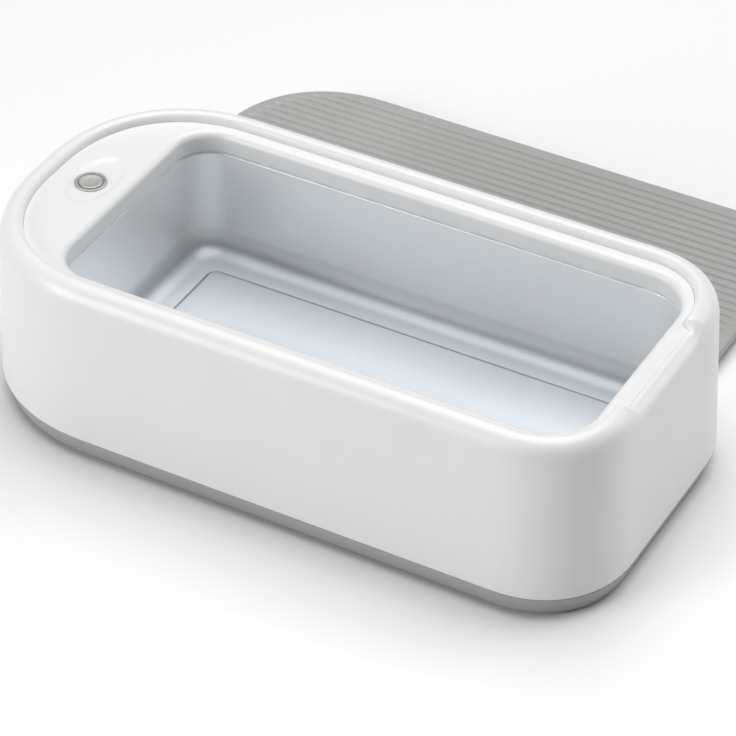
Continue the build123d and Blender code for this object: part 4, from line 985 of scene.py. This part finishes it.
def make_bezel():
    """The ring round the button, with a collar on the deck."""
    bezel = Builder()
    low, top = BEZEL_LOW.z, BEZEL_HIGH.z
    barrel, collar = BEZEL_RADIUS - BEZEL_COLLAR, top - BEZEL_COLLAR
    section = [(BEZEL_BORE, low), (barrel, low), (barrel, collar), (BEZEL_RADIUS, collar)]
    section += [(BEZEL_RADIUS, top - BEZEL_EDGE)]
    section += quarter(section[-1], (BEZEL_RADIUS - BEZEL_EDGE, top), SMALL_EDGE_STEPS)
    section += [(BEZEL_BORE + BEZEL_EDGE, top)]
    inner_edge = (BEZEL_BORE, top - BEZEL_EDGE)
    section += quarter(section[-1], inner_edge, SMALL_EDGE_STEPS, level=True)
    bezel.loft(revolve(section), closed=True)
    bezel.finish("bezel", "housing", "button_metal", "button_bezel")


# ---------------------------------------------------------------- tank
SHEET = 0.6 * MM
TANK_CLEAR = 0.2 * MM
TANK_DRAFT = 1.0 * MM
TANK_BOTTOM_RADIUS = 6.5 * MM
TANK_LIP = 0.25 * MM
TANK_BEND_STEPS = 16
TANK_SHARP_ANGLE = 50.0
STAMP_INSET = 11.0 * MM
STAMP_CORNER = 3.0 * MM
STAMP_WIDTH = 0.9 * MM
STAMP_DEPTH = 0.35 * MM
# across the stamped line, as shares of its width and depth
STAMP_SECTION = ((0.0, 0.0), (0.3, 0.8), (0.5, 1.0), (0.7, 0.8), (1.0, 0.0))


def tank_rows(offset):
    """The tank's section inside, or outside if offset is SHEET, from flange to floor."""
    top, floor = TANK_HIGH.z - offset, TANK_LOW.z + SHEET - offset
    radius = TANK_BOTTOM_RADIUS + offset
    wall = -TANK_CLEAR - offset
    foot_inset, foot_height = wall + TANK_DRAFT, floor + radius
    rows = [(-FLANGE_WIDTH, top), (wall - TANK_LIP, top)]
    rows += quarter(rows[-1], (wall, top - TANK_LIP), SMALL_EDGE_STEPS, level=True)
    rows += [(wall + TANK_DRAFT / 2, (top - TANK_LIP + foot_height) / 2)]
    rows += [(foot_inset, foot_height)]
    rows += quarter(rows[-1], (foot_inset + radius, floor), TANK_BEND_STEPS)
    return rows


def make_tank():
    """The steel tank, with its flange under the deck and a line stamped in its floor."""
    tank = Builder()
    floor = TANK_LOW.z + SHEET
    corner = STAMP_INSET + STAMP_CORNER
    stamp_plan = TANK_PLAN._replace(left=corner, right=corner)
    inside = [ring(TANK_PLAN, inset, height) for inset, height in tank_rows(0.0)]
    stamp = [
        ring(stamp_plan, STAMP_INSET + across * STAMP_WIDTH, floor - down * STAMP_DEPTH)
        for across, down in STAMP_SECTION
    ]
    inner = tank.loft(inside + stamp)
    tank.fill(inner[-1])
    outer = tank.loft([ring(TANK_PLAN, inset, height) for inset, height in tank_rows(SHEET)])
    tank.fill(outer[-1])
    tank.bridge(inner[0], outer[0])
    tank.finish("tank", "housing", "stainless", "cleaning_tank", sharp=TANK_SHARP_ANGLE)


# ---------------------------------------------------------------- lid
LID_INSET = 9.15 * MM
LID_SKIRT = 3.0 * MM
LID_EDGE = 0.6 * MM
LID_SKIRT_GAP = 0.7 * MM
LID_SKIRT_WALL = 1.6 * MM
LID_SKIRT_EDGE = 0.4 * MM
LID_SKIRT_STEPS = 3
RIB_PITCH = 3.18 * MM
RIB_COUNT = 24
RIB_DEPTH = 0.6 * MM
RIB_GROOVE = 0.85 * MM
RIB_BORDER = 1.7 * MM
RIB_EASE = 3.4 * MM
RIB_EASE_STEPS = 6
RIB_SAMPLES = 16
BRACE_HEIGHT = 1.6 * MM
BRACE_WIDTH = 1.2 * MM
BRACE_PITCH = 36.0 * MM
BRACE_COUNT = 4
POCKET_GAP = 0.5 * MM
POCKET_RADIUS = 1.0 * MM
LID_CENTRE = Vector(((LID_LOW.x + LID_HIGH.x) / 2, (LID_LOW.y + LID_HIGH.y) / 2, 0.0))
UNDERSIDE = LID_LOW.z + LID_SKIRT


def rib_span(y):
    """How far the ribs reach left and right at a distance y from the lid's middle line."""
    plan = BODY_PLAN
    inset = LID_INSET + RIB_BORDER
    ends = []
    for edge_x, radius, side in ((plan.x_low, plan.left, -1), (plan.x_high, plan.right, 1)):
        inner = radius - inset
        centre_y = plan.half_width - radius
        over = max(abs(y) - centre_y, 0.0) / inner
        across = inner * max(1 - over**plan.power, 0.0) ** (1 / plan.power)
        ends.append(edge_x - side * radius + side * across)
    return ends


def rib_row(y, depth):
    """Points along the lid's top at y: sunk by depth, and eased up to the border at both ends."""
    left, right = rib_span(y)
    shares = [step / RIB_EASE_STEPS for step in range(RIB_EASE_STEPS + 1)]
    heights = [LID_HIGH.z - depth * smooth(share) for share in shares]
    row = [Vector((left + RIB_EASE * share, y, z)) for share, z in zip(shares, heights)]
    row += [Vector((right - RIB_EASE * share, y, z)) for share, z in zip(shares, heights)][::-1]
    return row


def rib_rows():
    """Rows of points across the ribbed field, from front to back."""
    count = RIB_COUNT * RIB_SAMPLES
    half = RIB_COUNT * RIB_PITCH / 2
    rows = []
    for step in range(count + 1):
        y = -half + step * 2 * half / count
        from_groove = abs((y + half) % RIB_PITCH - RIB_PITCH / 2)
        depth = RIB_DEPTH * (1 - smooth(from_groove / RIB_GROOVE))
        rows.append(rib_row(y, depth))
    return rows


def pocket_loops():
    """Pairs of loops, low and high, for the pockets between the braces under the lid."""
    inset = LID_SKIRT_GAP + LID_SKIRT_WALL + POCKET_GAP
    low_x, high_x = TANK_PLAN.x_low + inset, TANK_PLAN.x_high - inset
    middle = (TANK_PLAN.x_low + TANK_PLAN.x_high) / 2
    half = BRACE_WIDTH / 2
    braces = [middle + (i - (BRACE_COUNT - 1) / 2) * BRACE_PITCH for i in range(BRACE_COUNT)]
    starts = [low_x] + [x + half for x in braces]
    ends = [x - half for x in braces] + [high_x]
    small = POCKET_RADIUS
    pairs = []
    for start, end in zip(starts, ends):
        left = TANK_PLAN.left - inset if start == low_x else small
        right = TANK_PLAN.right - inset if end == high_x else small
        for side in SIDES:
            far = side * (TANK_PLAN.half_width - inset)
            low = Vector((start, min(side * half, far)))
            high = Vector((end, max(side * half, far)))
            radii = (right, left, small, small) if side > 0 else (small, small, left, right)
            heights = (UNDERSIDE - BRACE_HEIGHT, UNDERSIDE)
            pairs.append([rounded_box(low, high, radii, height) for height in heights])
    return pairs


def lid_rim():
    """The section of the lid's edge, from its underside to its top."""
    inset, top = LID_INSET, LID_HIGH.z
    rim = [(inset + LID_EDGE, UNDERSIDE)]
    rim += quarter(rim[-1], (inset, UNDERSIDE + LID_EDGE), level=True)
    rim += [(inset, top - LID_EDGE)]
    rim += quarter(rim[-1], (inset + LID_EDGE, top))
    return rim


def lid_skirt():
    """The section of the skirt that drops into the tank's mouth, from outside to inside."""
    outer, inner = LID_SKIRT_GAP, LID_SKIRT_GAP + LID_SKIRT_WALL
    low, edge = LID_LOW.z, LID_SKIRT_EDGE
    rows = [(outer, UNDERSIDE), (outer, low + edge)]
    rows += quarter(rows[-1], (outer + edge, low), LID_SKIRT_STEPS)
    rows += [(inner - edge, low)]
    rows += quarter(rows[-1], (inner, low + edge), LID_SKIRT_STEPS, level=True)
    rows += [(inner, UNDERSIDE - BRACE_HEIGHT)]
    return rows


def make_lid():
    """The grey lid where it lies behind the body: ribs on top, a skirt and braces below."""
    lid = Builder()

    def lay(plan, section):
        """Lofts a section round a plan, at the lid's place."""
        return lid.loft([moved(ring(plan, *row), LID_CENTRE) for row in section])

    edge = lay(BODY_PLAN, lid_rim())
    rows = [lid.vertices(moved(row, LID_CENTRE)) for row in rib_rows()]
    for near, far in zip(rows, rows[1:]):
        for i in range(len(near) - 1):
            lid.mesh.faces.new((near[i], near[i + 1], far[i + 1], far[i]))
    lid.fill(edge[-1], border_of(rows))
    skirt = lay(TANK_PLAN, lid_skirt())
    lid.fill(edge[0], skirt[0])
    pockets = [lid.loft([moved(loop, LID_CENTRE) for loop in pair]) for pair in pocket_loops()]
    for pocket in pockets:
        lid.fill(pocket[-1])
    lid.fill(skirt[-1], *(pocket[0] for pocket in pockets))
    lid.finish("lid", "lid", "grey_lid", "lid_panel")


make_shell()
make_base()
make_foot_ring()
make_deck()
make_button()
make_bezel()
make_tank()
make_lid()

# ---------------------------------------------------------------- studio
FLOOR_SIZE = 12.0
FLOOR_COLOUR = (0.95, 0.95, 0.95)
FLOOR_ROUGHNESS = 0.22
FLOOR_SPECULAR = 0.6
WORLD_STRENGTH = 0.07
# each light's name, place in metres, width in metres and power in watts
SOFTBOXES = (
    ("top_light", (0.0, 0.3, 1.6), 1.6, 28.4),
    ("front_light", (-1.1, -1.5, 0.55), 0.9, 17.5),
    ("back_light", (1.2, 1.2, 0.8), 1.2, 7.4),
)


def add_floor():
    """A plain pale floor with a faint sheen."""
    material, _, shader = new_material("floor", FLOOR_COLOUR, FLOOR_ROUGHNESS)
    shader.inputs["Specular IOR Level"].default_value = FLOOR_SPECULAR
    plane = bmesh.new()
    bmesh.ops.create_grid(plane, x_segments=1, y_segments=1, size=FLOOR_SIZE / 2)
    data = bpy.data.meshes.new("floor")
    plane.to_mesh(data)
    plane.free()
    data.materials.append(material)
    floor = bpy.data.objects.new("floor", data)
    floor.location.z = CAD_BOX[0].z
    bpy.context.scene.collection.objects.link(floor)


def add_softbox(name, place, size, power):
    """A white square area light that faces the body."""
    data = bpy.data.lights.new(name, "AREA")
    data.shape = "SQUARE"
    data.size = size
    data.energy = power
    light = bpy.data.objects.new(name, data)
    light.location = place
    light.rotation_euler = (CAMERA_TARGET - Vector(place)).to_track_quat("-Z", "Y").to_euler()
    bpy.context.scene.collection.objects.link(light)


def add_world():
    """A plain white surrounding, kept dim."""
    world = bpy.data.worlds.new("studio")
    world.use_nodes = True
    background = world.node_tree.nodes["Background"]
    background.inputs["Color"].default_value = (1.0, 1.0, 1.0, 1.0)
    background.inputs["Strength"].default_value = WORLD_STRENGTH
    bpy.context.scene.world = world


add_floor()
add_world()
for softbox in SOFTBOXES:
    add_softbox(*softbox)
bpy.context.scene.view_settings.view_transform = "Standard"
